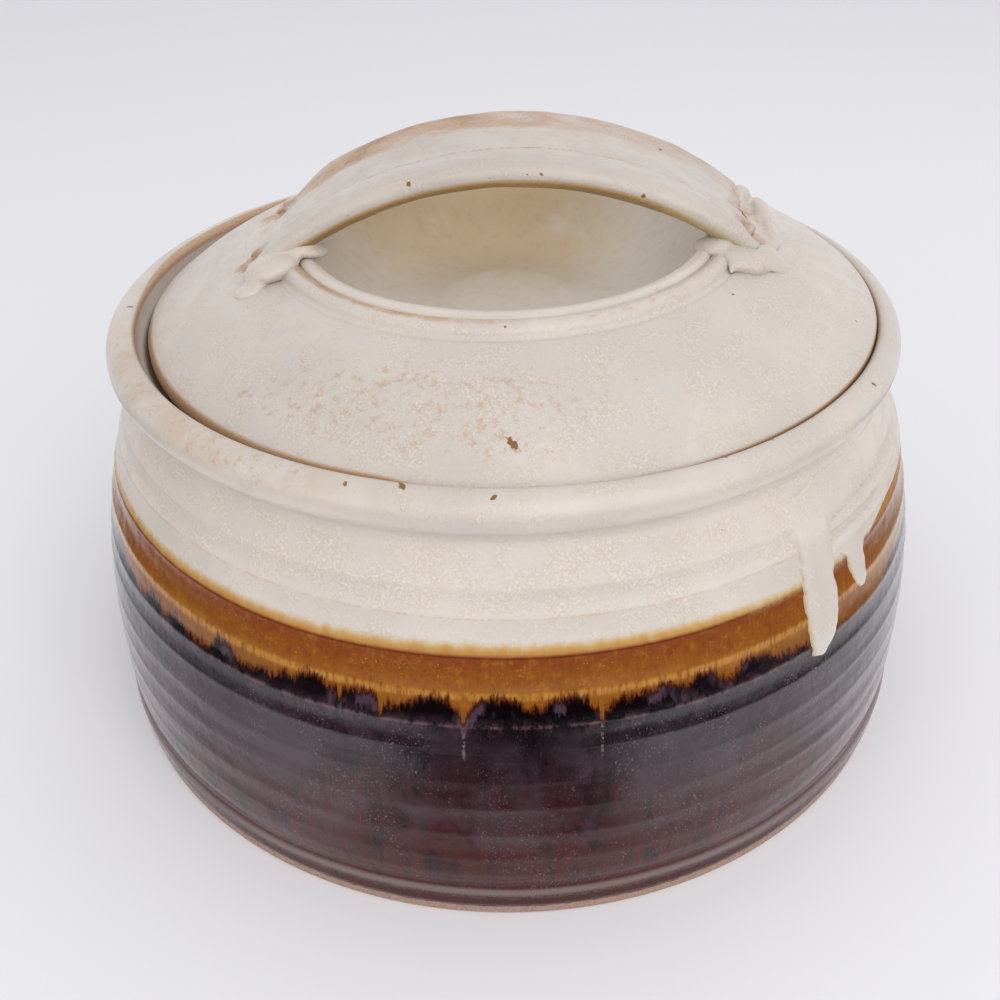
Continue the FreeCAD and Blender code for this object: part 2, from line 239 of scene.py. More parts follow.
def push(piece, name, distance, weight_at=None, direction="NORMAL"):
    """Moves a surface by a distance in millimetres, in full where weight_at(place) is 1."""
    group = weigh(piece, name, weight_at) if weight_at else ""
    apply_modifier(piece, "DISPLACE", name, direction=direction, strength=distance * MM, mid_level=0,
                   vertex_group=group)
    piece.vertex_groups.clear()


def rise(value, low, high):
    """0 at low and 1 at high, smooth between them."""
    share = min(1.0, max(0.0, (value - low) / (high - low)))
    return share * share * (3 - 2 * share)


def handmade(piece, name, size, depth, stretch=(1, 1, 1), group=""):
    """Pushes a surface in and out by soft clouds of a given size, drawn out along some axes."""
    clouds = bpy.data.textures.new(name, "CLOUDS")
    clouds.noise_scale = size
    clouds.noise_depth = 1
    deselect()
    bpy.ops.object.empty_add()
    guide = bpy.context.object
    guide.scale = stretch
    bpy.context.view_layer.update()
    apply_modifier(piece, "DISPLACE", name, texture=clouds, texture_coords="OBJECT",
                   texture_coords_object=guide, strength=depth, mid_level=0.5, vertex_group=group)
    bpy.data.objects.remove(guide)


def paint(piece, material):
    """Gives a piece its material, in its one slot."""
    piece.data.materials.clear()
    piece.data.materials.append(material)


def node_copy(node, name):
    """A joined-up copy of a CAD node, to be softened and worked on."""
    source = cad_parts[node]
    piece = bpy.data.objects.new(name, source.data.copy())
    bpy.context.scene.collection.objects.link(piece)
    piece.data.name = name
    piece.data.materials.clear()
    only(piece)
    bpy.ops.object.mode_set(mode="EDIT")
    bpy.ops.mesh.select_all(action="SELECT")
    bpy.ops.mesh.remove_doubles(threshold=2e-6)
    bpy.ops.mesh.normals_make_consistent(inside=False)
    bpy.ops.object.mode_set(mode="OBJECT")
    return piece


def seat_on_ledge(piece):
    """Lays a piece of the lid in the gallery, pushed to the right and a little tilted."""
    lid = settings("lid")
    piece.matrix_world = (Matrix.Translation(lid.place) @ Matrix.Rotation(lid.tilt[0], 4, "X")
                          @ Matrix.Rotation(lid.tilt[1], 4, "Y"))
    only(piece)
    bpy.ops.object.transform_apply(location=True, rotation=True, scale=True)


# ---------------------------------------------------------------- shader helpers

class Tree:
    """Adds nodes to a material or a node group, and joins them up."""

    def __init__(self, tree):
        self.tree = tree

    def put(self, socket, value):
        if isinstance(value, bpy.types.NodeSocket):
            self.tree.links.new(value, socket)
        elif value is not None:
            if socket.type == "RGBA" and len(value) == 3:
                value = (*value, 1)
            socket.default_value = value

    def add(self, kind, *inputs, **values):
        """A node with its attributes set and its first inputs given in order."""
        node = self.tree.nodes.new("ShaderNode" + kind)
        for key, value in values.items():
            setattr(node, key, value)
        for socket, value in zip(node.inputs, inputs):
            self.put(socket, value)
        return node

    def math(self, operation, first, second=None, third=None):
        return self.add("Math", first, second, third, operation=operation).outputs[0]

    def times(self, first, *others):
        for other in others:
            first = self.math("MULTIPLY", first, other)
        return first

    def scaled(self, value, factor, extra):
        """A value times a factor, with something added."""
        return self.math("MULTIPLY_ADD", value, factor, extra)

    def plus(self, first, second):
        return self.math("ADD", first, second)

    def minus(self, first, second):
        return self.math("SUBTRACT", first, second)

    def most(self, first, *others):
        """The largest of some values."""
        for other in others:
            first = self.math("MAXIMUM", first, other)
        return first

    def end(self, shader, kind="OutputMaterial"):
        """Ends a material or a world in a shader."""
        self.put(self.add(kind).inputs["Surface"], shader.outputs[0])

    def vector(self, operation, first, second=None):
        return self.add("VectorMath", first, second, operation=operation).outputs[0]

    def blend(self, share, first, second, kind="MIX"):
        node = self.tree.nodes.new("ShaderNodeMix")
        node.data_type = "RGBA"
        node.blend_type = kind
        self.put(node.inputs["Factor"], share)
        self.put(node.inputs[6], first)
        self.put(node.inputs[7], second)
        return node.outputs[2]

    def between(self, share, first, second):
        """A number that goes from first to second as share goes from 0 to 1."""
        node = self.tree.nodes.new("ShaderNodeMix")
        for socket, value in zip((node.inputs[0], node.inputs[2], node.inputs[3]), (share, first, second)):
            self.put(socket, value)
        return node.outputs[0]

    def step(self, value, low, high):
        """0 below low and 1 above high, smooth between them; the other way when low is the larger."""
        node = self.add("MapRange", value, low, high, 0.0, 1.0, interpolation_type="SMOOTHSTEP")
        return node.outputs[0]

    def noise(self, place, scale, detail=3.0, rough=0.5, warp=0.0):
        node = self.tree.nodes.new("ShaderNodeTexNoise")
        self.put(node.inputs["Vector"], place)
        self.put(node.inputs["Scale"], scale)
        node.inputs["Detail"].default_value = detail
        node.inputs["Roughness"].default_value = rough
        node.inputs["Distortion"].default_value = warp
        return node.outputs[0]

    def cells(self, place, scale, feature="F1"):
        node = self.tree.nodes.new("ShaderNodeTexVoronoi")
        node.feature = feature
        self.put(node.inputs["Vector"], place)
        self.put(node.inputs["Scale"], scale)
        return node

    def place(self, **mapping):
        """Object coordinates in millimetres, stretched or shifted if asked."""
        coordinates = self.add("TexCoord").outputs["Object"]
        millimetres = self.add("VectorMath", coordinates, operation="SCALE")
        millimetres.inputs["Scale"].default_value = 1 / MM
        return self.moved(millimetres.outputs[0], **mapping) if mapping else millimetres.outputs[0]

    def moved(self, place, shift=(0, 0, 0), scale=(1, 1, 1)):
        node = self.add("Mapping", place)
        node.inputs["Location"].default_value = shift
        node.inputs["Scale"].default_value = scale
        return node.outputs[0]

    def split(self, place):
        return self.add("SeparateXYZ", place).outputs

    def ramp(self, value, stops):
        """Colours along a value from 0 to 1."""
        node = self.add("ValToRGB", value)
        elements = node.color_ramp.elements
        for count, (position, colour) in enumerate(stops):
            element = elements[count] if count < 2 else elements.new(position)
            element.position = position
            element.color = (*(min(1.0, c) for c in colour), 1)
        return node.outputs[0]

    def curve(self, value, points):
        """A smooth curve through points, each a pair from 0 to 1."""
        node = self.tree.nodes.new("ShaderNodeFloatCurve")
        self.put(node.inputs["Value"], value)
        curve = node.mapping.curves[0]
        curve.points[0].location = points[0]
        curve.points[1].location = points[-1]
        for point in points[1:-1]:
            curve.points.new(*point)
        node.mapping.update()
        return node.outputs[0]


def new_group(name, inputs, outputs):
    """An empty shader node group. Inputs are name: (kind, default); outputs are name: kind."""
    group = bpy.data.node_groups.new(name, "ShaderNodeTree")
    for label, (kind, default) in inputs.items():
        socket = group.interface.new_socket(label, in_out="INPUT", socket_type="NodeSocket" + kind)
        if default is not None:
            socket.default_value = default
    for label, kind in outputs.items():
        group.interface.new_socket(label, in_out="OUTPUT", socket_type="NodeSocket" + kind)
    source = group.nodes.new("NodeGroupInput").outputs
    sink = group.nodes.new("NodeGroupOutput").inputs
    return Tree(group), source, sink


def use_group(tree, name, **values):
    node = tree.add("Group")
    node.node_tree = bpy.data.node_groups[name]
    for label, value in values.items():
        tree.put(node.inputs[label.replace("_", " ").capitalize()], value)
    return node.outputs


def new_material(name):
    material = bpy.data.materials.new(name)
    material.use_nodes = True
    material.node_tree.nodes.clear()
    return material, Tree(material.node_tree)


def finish_glaze(tree, colour, rough, height, shine=0.5):
    """Ends a material in a glossy ceramic surface. Height 1 stands for a tenth of a millimetre."""
    shader = tree.add("BsdfPrincipled")
    tree.put(shader.inputs["Base Color"], colour)
    tree.put(shader.inputs["Roughness"], rough)
    shader.inputs["IOR"].default_value = 1.48
    tree.put(shader.inputs["Specular IOR Level"], shine)
    bump = tree.add("Bump")
    bump.inputs["Strength"].default_value = 1.0
    bump.inputs["Distance"].default_value = 0.1 * MM
    tree.put(bump.inputs["Height"], height)
    tree.put(shader.inputs["Normal"], bump.outputs[0])
    tree.end(shader)


# ---------------------------------------------------------------- shared glaze effects

def make_spot_group():
    """Scattered round spots: iron spots when large and few, pinholes when small and many."""
    tree, given, out = new_group(
        "Spots", {"Cell": ("Float", 10.0), "Size": ("Float", 0.5), "Share": ("Float", 0.5)},
        {"Mask": "Float", "Halo": "Float"})
    scale = tree.math("DIVIDE", 1.0, given["Cell"])
    drift = tree.add("TexNoise", tree.place())
    drift.inputs["Scale"].default_value = 1.6
    nudge = tree.add("VectorMath", drift.outputs["Color"], operation="SCALE")
    nudge.inputs["Scale"].default_value = 0.5
    cells = tree.cells(tree.vector("ADD", tree.place(), nudge.outputs[0]), scale)
    distance = tree.times(cells.outputs["Distance"], given["Cell"])
    chance = tree.split(cells.outputs["Color"])
    size = tree.times(given["Size"], tree.plus(0.35, chance[1]))
    kept = tree.math("LESS_THAN", chance[0], given["Share"])
    edge = tree.times(size, 0.55)
    tree.put(out["Mask"], tree.times(kept, tree.step(distance, size, edge)))
    tree.put(out["Halo"], tree.times(kept, tree.step(distance, tree.times(size, 2.2), edge)))


def make_cream_group():
    """Oatmeal glaze: smooth grey patches among fine white crystals on a tan ground.

    Thin brings out the tan ground. Break is 1 where the glaze breaks over an edge, and turns it tan.
    """
    glaze = settings("glaze")
    tree, given, out = new_group(
        "Oatmeal glaze",
        {"Thin": ("Float", 0.0), "Break": ("Float", 0.0), "Crystal": ("Float", 0.5), "Spot": ("Float", 0.0)},
        {"Color": "Color", "Roughness": "Float", "Height": "Float"})
    place = tree.place()
    broad = tree.noise(place, 0.035, 2.0)
    patch = tree.noise(tree.moved(place, scale=(1, 1, 1.7)), 0.13, 4.0, 0.62, 0.6)
    fine = tree.noise(place, 1.7, 3.0, 0.7)
    grain = tree.noise(place, 3.1, 2.0, 0.6)
    cluster = tree.step(tree.scaled(given["Crystal"], 0.16, patch), 0.49, 0.70)
    light, dim = tinted(glaze.cream, 1.04, 1.04, 1.04), tinted(glaze.cream, 0.94, 0.94, 0.94)
    tone = tree.blend(tree.step(broad, 0.36, 0.64), light, dim)
    cool = tree.noise(place, 0.09, 3.0, 0.5, 0.5)
    tone = tree.blend(tree.times(tree.step(cool, 0.50, 0.66), 0.5), tone,
                      tinted(glaze.cream, 0.93, 0.97, 1.02))
    ground = tree.blend(tree.times(cluster, 0.24), tone, glaze.oatmeal)
    white = [min(1.0, 1.15 * c) for c in glaze.cream]
    crystals = tree.times(tree.step(fine, 0.45, 0.64), tree.scaled(cluster, 0.70, 0.15))
    dusted = tree.blend(crystals, ground, white)
    hollow = tree.times(tree.step(grain, 0.58, 0.72), tree.scaled(cluster, 0.32, 0.10))
    specked = tree.blend(hollow, dusted, glaze.oatmeal)
    mottle = tree.scaled(tree.minus(tree.noise(place, 0.42, 4.0, 0.7), 0.5), 2.8, given["Thin"])
    mottle = tree.plus(mottle, tree.scaled(grain, 1.0, -0.5))
    thin = tree.blend(tree.times(tree.step(mottle, 0.50, 1.05), 0.8), specked, glaze.blush)
    rough_edge = tree.scaled(tree.minus(fine, 0.5), 1.2, given["Break"])
    rough_edge = tree.times(rough_edge, tree.math("GREATER_THAN", given["Break"], 0.02))
    broken = tree.blend(tree.step(rough_edge, 0.20, 0.85), thin, glaze.tan)
    burnt = tree.blend(tree.times(tree.step(rough_edge, 0.85, 1.5), 0.8), broken, glaze.ochre)
    pin = use_group(tree, "Spots", cell=3.4, size=0.20, share=0.40)
    pinned = tree.blend(tree.times(pin["Mask"], 0.55), burnt, glaze.ochre)
    spot = use_group(tree, "Spots", cell=19.0, size=0.55, share=0.22)
    spots = tree.most(spot["Mask"], given["Spot"])
    haloed = tree.blend(tree.times(spot["Halo"], 0.25), pinned, glaze.tan)
    haloed = tree.blend(tree.times(given["Spot"], 0.5), haloed, glaze.tan)
    tree.put(out["Color"], tree.blend(tree.step(spots, 0.25, 0.75), haloed, glaze.iron))
    tree.put(out["Roughness"], tree.scaled(cluster, 0.12, tree.scaled(fine, 0.2, 0.22)))
    bumps = tree.times(fine, tree.scaled(cluster, 0.8, 0.25))
    pits = tree.plus(pin["Mask"], spots)
    tree.put(out["Height"], tree.scaled(pits, -0.7, bumps))


# ---------------------------------------------------------------- materials

def band(tree, value, low, high, soft):
    """1 between two values and 0 outside them."""
    return tree.times(tree.step(value, low - soft, low + soft), tree.step(value, high + soft, high - soft))


def length_of(tree, *parts):
    """The length of a line from its parts along each axis."""
    total = tree.math("POWER", parts[0], 2.0)
    for part in parts[1:]:
        total = tree.plus(total, tree.math("POWER", part, 2.0))
    return tree.math("POWER", total, 0.5)


def placed_spots(tree, place, spots):
    """Spots at given places, each a centre, a size and how far it is drawn out and slanted."""
    wobble = tree.noise(place, 1.2, 2.0)
    total = None
    for centre, size, stretch, slant in spots:
        x, y, z = tree.split(tree.vector("SUBTRACT", place, centre))
        x = tree.scaled(y, slant, x)
        far = length_of(tree, x, tree.math("DIVIDE", y, stretch), z)
        far = tree.plus(far, tree.scaled(wobble, 1.2 * size, -0.6 * size))
        spot = tree.step(far, 1.25 * size, 0.6 * size)
        total = spot if total is None else tree.most(total, spot)
    return total


RIM_SPOTS = (((-20.5, -95.5, 109.6), 0.8, 1.6, 0.3), ((-31.7, -94.2, 109.6), 0.55, 1.4, 0.0),
             ((-15.3, -96.6, 109.6), 0.45, 1.4, 0.0), ((-2.5, -99.2, 109.4), 0.6, 1.3, -0.5),
             ((44.0, -85.9, 109.8), 0.5, 1.2, 0.0), ((54.3, -79.6, 109.8), 0.7, 0.6, 0.8),
             ((-96.8, -11.4, 109.9), 0.8, 0.7, 0.0), ((82.6, -55.8, 109.4), 0.7, 0.8, 0.5))
LID_SPOTS = (((0.7, -84.9, 112.9), 1.15, 1.9, 0.55), ((52.4, -38.4, 123.7), 0.4, 1.0, 0.0),
             ((83.9, -31.8, 113.1), 0.55, 0.6, 0.5), ((-7.8, -86.7, 111.3), 0.4, 1.2, 0.0),
             ((-0.1, -58.3, 125.4), 0.5, 0.7, 0.0))
STRAP_SPOTS = (((-22.3, -20.6, 144.4), 0.75, 1.0, 0.0), ((8.6, -20.6, 146.1), 0.6, 1.0, 0.0),
               ((5.4, -20.6, 146.1), 0.45, 1.0, 0.0), ((32.7, -20.6, 140.8), 0.7, 1.0, 0.0),
               ((-41.0, -20.6, 139.3), 0.4, 1.0, 0.0), ((-55.2, -20.6, 129.6), 0.8, 1.0, 0.0),
               ((40.5, 12.7, 141.1), 0.5, 1.5, 0.0))


def oatmeal_edge(tree, turn):
    """Height in millimetres of the oatmeal glaze's lower edge all the way round."""
    # 0 to 1 stands for 68 to 84 mm; the front is at 0.5 and its right-hand side at 0.75
    edge = tree.curve(turn, ((0.0, 0.62), (0.12, 0.56), (0.25, 0.51), (0.306, 0.52), (0.361, 0.565),
                             (0.42, 0.575), (0.5, 0.585), (0.556, 0.565), (0.60, 0.50), (0.636, 0.48),
                             (0.66, 0.60), (0.69, 0.64), (0.75, 0.64), (0.86, 0.58), (1.0, 0.62)))
    return tree.scaled(edge, 16.0, 68.0)


def tinted(colour, red, green, blue):
    """A colour with each of its channels scaled."""
    return [red * colour[0], green * colour[1], blue * colour[2]]


def layered(tree, colour, *layers):
    """Lays colours over one another, each with its mask and how far it covers."""
    for mask, cover, over in layers:
        colour = tree.blend(tree.times(mask, cover), colour, over)
    return colour


def amber_colour(tree, place, z, above, turn):
    """The band where the oatmeal glaze has run out thin over the iron glaze, with a painted highlight in a
    lighter golden band at 65 to 67 mm and a painted reflection that mutes it on the right.
    """
    glaze = settings("glaze")
    amber = glaze.amber
    slow = tree.noise(tree.moved(place, scale=(1, 1, 0.4)), 0.16, 4.0, 0.6)
    level = tree.plus(z, tree.scaled(slow, 6.0, -3.0))
    ramp = tree.ramp(tree.math("DIVIDE", tree.minus(level, 60.0), 20.0), (
        (0.00, tinted(amber, 0.75, 0.80, 1.0)), (0.22, tinted(amber, 0.95, 1.10, 1.1)),
        (0.33, tinted(amber, 1.15, 1.35, 1.4)), (0.42, tinted(amber, 0.97, 1.00, 1.0)),
        (0.55, tinted(amber, 0.93, 0.90, 1.0)), (0.68, tinted(amber, 0.84, 0.66, 1.0)),
        (1.00, tinted(amber, 0.95, 0.80, 1.2))))
    streak = tree.noise(tree.moved(place, scale=(1, 1, 0.12)), 0.9, 4.0, 0.65)
    cloud = tree.noise(place, 0.35, 4.0, 0.7)
    rust = tree.times(tree.step(cloud, 0.46, 0.34), band(tree, z, 68.5, 74.5, 1.5))
    grain = tree.step(tree.noise(place, 1.6, 2.0, 0.6), 0.66, 0.72)
    patch = tree.step(tree.noise(place, 0.10, 2.0), 0.46, 0.60)
    glint = tree.times(grain, band(tree, z, 68.6, 73.4, 1.2), patch)
    # painted highlight: a lighter golden band along the ring at 65 to 67 mm, where its crest catches a
    # reflection
    golden_stripe_highlight = tree.times(band(tree, z, 65.4, 67.3, 0.5), tree.step(streak, 0.36, 0.58))
    ring = tree.times(band(tree, z, 74.7, 75.1, 0.3), tree.scaled(slow, 1.2, 0.05))
    return layered(
        tree, ramp,
        (tree.step(streak, 0.46, 0.30), 0.45, tinted(amber, 0.55, 0.55, 0.55)),
        (tree.step(streak, 0.55, 0.70), 0.30, tinted(amber, 1.50, 2.00, 2.2)),
        (tree.step(cloud, 0.54, 0.68), 0.40, tinted(amber, 1.45, 1.90, 2.0)),
        (rust, 0.55, tinted(amber, 0.72, 0.45, 0.9)),
        (glint, 0.60, (0.70, 0.42, 0.20)),
        (golden_stripe_highlight, 0.65, (0.52, 0.245, 0.045)),
        # painted reflection: the amber muted towards tan on the right side
        (band(tree, turn, 0.65, 0.80, 0.02), 0.50, (0.31, 0.185, 0.095)),
        (ring, 1.00, tinted(glaze.umber, 1.3, 1.3, 1.3)),
        (tree.step(z, 75.0, 75.8), 0.85, (0.45, 0.205, 0.045)),
        (tree.step(above, -2.2, 0.2), 0.90, (0.57, 0.385, 0.145)))


def dark_colour(tree, place, z, turn):
    """The iron glaze: black where thick, umber lower down, with specks, streaks and dim rings; the pink line on
    the sharp crest at 59 mm is partly pink glaze and partly painted highlight.
    """
    glaze = settings("glaze")
    umber, black = glaze.umber, glaze.black
    cloud = tree.noise(tree.moved(place, scale=(1, 1, 0.6)), 0.035, 4.0)
    level = tree.scaled(cloud, 20.0, tree.minus(z, 10.0))
    ramp = tree.ramp(tree.math("DIVIDE", level, 70.0), (
        (0.00, tinted(umber, 1.15, 1.20, 1.0)), (0.34, umber), (0.50, tinted(umber, 0.72, 1.0, 1.5)),
        (0.68, tinted(umber, 0.46, 1.30, 2.1)), (0.80, tinted(umber, 0.26, 1.0, 1.5)), (0.88, black)))
    blotch = tree.noise(tree.moved(place, scale=(1, 1, 0.7)), 0.11, 5.0, 0.65)
    streak = tree.noise(tree.moved(place, scale=(1, 1, 0.10)), 0.45, 4.0, 0.6)
    where = tree.step(tree.noise(tree.moved(place, scale=(1, 1, 0.5)), 0.09, 3.0), 0.44, 0.60)
    speck = tree.step(tree.noise(tree.moved(place, scale=(1, 1, 0.7)), 1.9, 3.0, 0.7), 0.57, 0.69)
    speck = tree.times(speck, tree.scaled(where, 0.72, 0.12), tree.step(z, 62.0, 54.0))
    film = tree.times(tree.step(tree.noise(place, 0.055, 4.0, 0.6), 0.44, 0.62), band(tree, z, 22.0, 55.0, 8.0))
    blot = use_group(tree, "Spots", cell=26.0, size=4.6, share=0.32)["Mask"]
    broken = tree.noise(tree.moved(place, scale=(1, 1, 0.5)), 0.20, 5.0, 0.75)
    # partly pink glaze on the sharp crest at 59 mm, partly painted highlight
    ridge_pink_and_highlight = tree.times(band(tree, z, 58.8, 59.4, 0.5), tree.step(broken, 0.41, 0.58))
    mauve = tree.times(band(tree, z, 56.8, 60.2, 1.6), tree.step(broken, 0.46, 0.66))
    dots = tree.step(tree.noise(place, 1.3, 2.0, 0.7), 0.46, 0.56)
    trail = tree.times(near_turns(tree, turn, DRIPS[2:], 0.0006), dots, band(tree, z, 51.0, 59.0, 1.5))
    return layered(
        tree, ramp,
        (tree.step(blotch, 0.53, 0.64), 0.65, black),
        (tree.step(streak, 0.50, 0.38), 0.35, black),
        (speck, 1.00, (0.20, 0.14, 0.15)),
        (film, 0.32, (0.085, 0.065, 0.080)),
        (blot, 0.35, black),
        (tree.times(blot, tree.minus(1.0, blot)), 0.80, (0.09, 0.05, 0.055)),
        (ridge_pink_and_highlight, 0.48, (0.28, 0.155, 0.165)),
        (mauve, 0.45, (0.125, 0.062, 0.078)),
        (trail, 0.50, (0.30, 0.24, 0.20)))


DRIPS = (-19.1, -14.3, -5.0, 10.1)    # thin golden drips, in degrees right of the front


def near_turns(tree, turn, places, reach):
    """1 beside some places round the pot, each in degrees right of the front."""
    total = None
    for place in places:
        far = tree.math("ABSOLUTE", tree.minus(turn, 0.5 + place / 360))
        near = tree.step(far, reach, 0.4 * reach)
        total = near if total is None else tree.most(total, near)
    return total


def meeting_height(tree, place, turn):
    """How high the dark glaze reaches up into the amber: rounded lumps with feathered tops, and long drips."""
    # 0 to 1 stands for 56 to 70 mm
    side = tree.curve(turn, ((0.0, 0.45), (0.20, 0.46), (0.32, 0.42), (0.36, 0.42), (0.40, 0.49), (0.44, 0.55),
                             (0.56, 0.50), (0.59, 0.49), (0.61, 0.38), (0.64, 0.28), (0.66, 0.42), (0.70, 0.48),
                             (1.0, 0.45)))
    lumps = tree.noise(tree.moved(place, scale=(1, 1, 0.02)), 0.105, 1.0)
    side = tree.scaled(tree.step(lumps, 0.36, 0.64), 0.26, tree.minus(side, 0.13))
    # at the front, 0 to 1 stands for 20 degrees to the left and to the right
    front = tree.curve(tree.scaled(turn, 9.0, -4.0), (
        (0.0, 0.46), (0.075, 0.60), (0.125, 0.57), (0.15, 0.44), (0.21, 0.48), (0.265, 0.66), (0.32, 0.66),
        (0.35, 0.50), (0.375, 0.42), (0.40, 0.50), (0.425, 0.65), (0.51, 0.67), (0.545, 0.52), (0.59, 0.50),
        (0.625, 0.66), (0.70, 0.65), (0.73, 0.48), (0.765, 0.42), (0.80, 0.52), (0.90, 0.58), (0.94, 0.66),
        (1.0, 0.52)))
    height = tree.between(band(tree, turn, 0.447, 0.553, 0.006), side, front)
    height = tree.scaled(height, 14.0, 56.0)
    feather = tree.noise(tree.moved(place, scale=(1, 1, 0.09)), 1.1, 3.0, 0.75)
    height = tree.plus(height, tree.scaled(feather, 7.0, -3.5))
    return tree.minus(height, tree.times(near_turns(tree, turn, DRIPS, 0.0010), 2.8))


def pot_breaks(tree, z, radius, turn, inner):
    """Where the oatmeal glaze breaks tan on the pot: the rim's crest, and lines along two shoulder crests that
    are partly painted shade.
    """
    left = tree.times(tree.step(turn, 0.34, 0.30), tree.step(turn, 0.02, 0.10))
    right = tree.times(band(tree, turn, 0.67, 0.93, 0.05), 0.6)
    side = tree.plus(tree.most(left, right), 0.14)
    back = tree.times(left, tree.step(turn, 0.27, 0.20))
    width = tree.scaled(back, 1.6, 96.0)
    crest = tree.times(tree.step(radius, 94.9, 95.6), tree.step(tree.minus(radius, width), 0.5, -0.4))
    crest = tree.times(crest, tree.step(z, 106.8, 108.6))
    crest = tree.times(crest, side, 1.0)
    gallery = tree.times(back, tree.step(z, 103.2, 105.5), tree.step(radius, 96.0, 95.4))
    crest = tree.most(crest, tree.times(gallery, 0.35))
    # tan lines along the crests at 88.6 and 82.9 mm: partly the glaze breaking over them, partly painted shade
    lines = tree.scaled(band(tree, z, 88.5, 89.0, 0.5), 0.52,
                      tree.times(band(tree, z, 82.75, 83.25, 0.5), 0.72))
    patchy = tree.scaled(tree.step(tree.noise(tree.place(), 0.22, 4.0, 0.7), 0.34, 0.58), 0.5, 0.5)
    lines = tree.times(lines, patchy, tree.minus(1.0, inner))
    return tree.plus(crest, lines)


def meeting_colour(tree, place, z, turn, above):
    """Amber over the dark glaze, and how far a place lies above the edge where the two meet."""
    crisp = tree.scaled(band(tree, turn, 0.635, 0.90, 0.03), 2.0, 1.0)
    amber = amber_colour(tree, place, z, tree.times(above, crisp), turn)
    tongue = tree.minus(z, meeting_height(tree, place, turn))
    cloud = tree.step(tree.noise(tree.moved(place, scale=(1, 1, 0.3)), 0.12, 3.0), 0.50, 0.60)
    colour = layered(
        tree, dark_colour(tree, place, z, turn),
        (tree.times(band(tree, tongue, -3.2, -0.8, 0.8), cloud), 0.65, (0.100, 0.055, 0.080)),
        (tree.step(tongue, -1.3, 0.1), 1.0, (0.045, 0.009, 0.003)),
        (tree.step(tongue, -0.5, 0.9), 1.0, (0.15, 0.042, 0.008)),
        (tree.step(tongue, 0.3, 1.9), 1.0, amber))
    return colour, tongue


def pot_oatmeal(tree, place, z, radius, turn, above, inner):
    """The colour of the pot's oatmeal glaze, tan on the rim at the front left, and the glaze itself."""
    wash = tree.times(band(tree, turn, 0.28, 0.45, 0.03), tree.step(z, 105.0, 108.0))
    thin = tree.scaled(wash, 0.45, tree.times(tree.step(above, 3.0, 0.0), 0.20))
    crystal = tree.scaled(band(tree, z, 83.5, 96.0, 1.5), 0.55, 0.30)
    spot = placed_spots(tree, place, RIM_SPOTS)
    cream = use_group(tree, "Oatmeal glaze", thin=thin, crystal=crystal, spot=spot,
                      **{"break": pot_breaks(tree, z, radius, turn, inner)})
    oatmeal = tree.blend(tree.step(z, 102.0, 106.0), cream["Color"], (0.93, 0.93, 0.93), "MULTIPLY")
    cloud = tree.step(tree.noise(place, 0.12, 3.0), 0.35, 0.62)
    return layered(tree, oatmeal, (tree.times(wash, cloud), 0.5, (0.53, 0.39, 0.28))), cream


def pot_shine(tree, z, turn, tongue, is_cream):
    """How strongly the pot's glaze mirrors: less where it has run, at the front left and near the foot."""
    runny = tree.times(tree.step(tongue, 0.3, 1.9), tree.minus(1.0, is_cream))
    thick = tree.times(band(tree, z, 60.5, 66.0, 1.0), band(tree, turn, 0.40, 0.58, 0.04))
    dull = tree.most(tree.times(runny, 0.6), tree.times(thick, 0.95), tree.times(tree.step(z, 8.2, 7.4), 0.8),
                     tree.times(band(tree, turn, 0.30, 0.42, 0.03), 0.5),
                     tree.times(tree.step(z, 40.0, 20.0), 0.3))
    return tree.scaled(dull, -0.5, 0.5)


def pot_height(tree, place, cream, is_cream, glazed, grit):
    """How high the surface stands: crystals in the oatmeal glaze, dimples all over, and gritty clay."""
    height = tree.times(cream["Height"], tree.scaled(is_cream, 0.86, 0.14))
    height = tree.plus(height, tree.times(is_cream, 0.6))
    dimple = tree.noise(tree.moved(place, scale=(1, 1, 0.6)), 0.30, 3.0)
    height = tree.scaled(dimple, 1.6, height)
    return tree.plus(height, tree.times(tree.minus(1.0, glazed), grit))


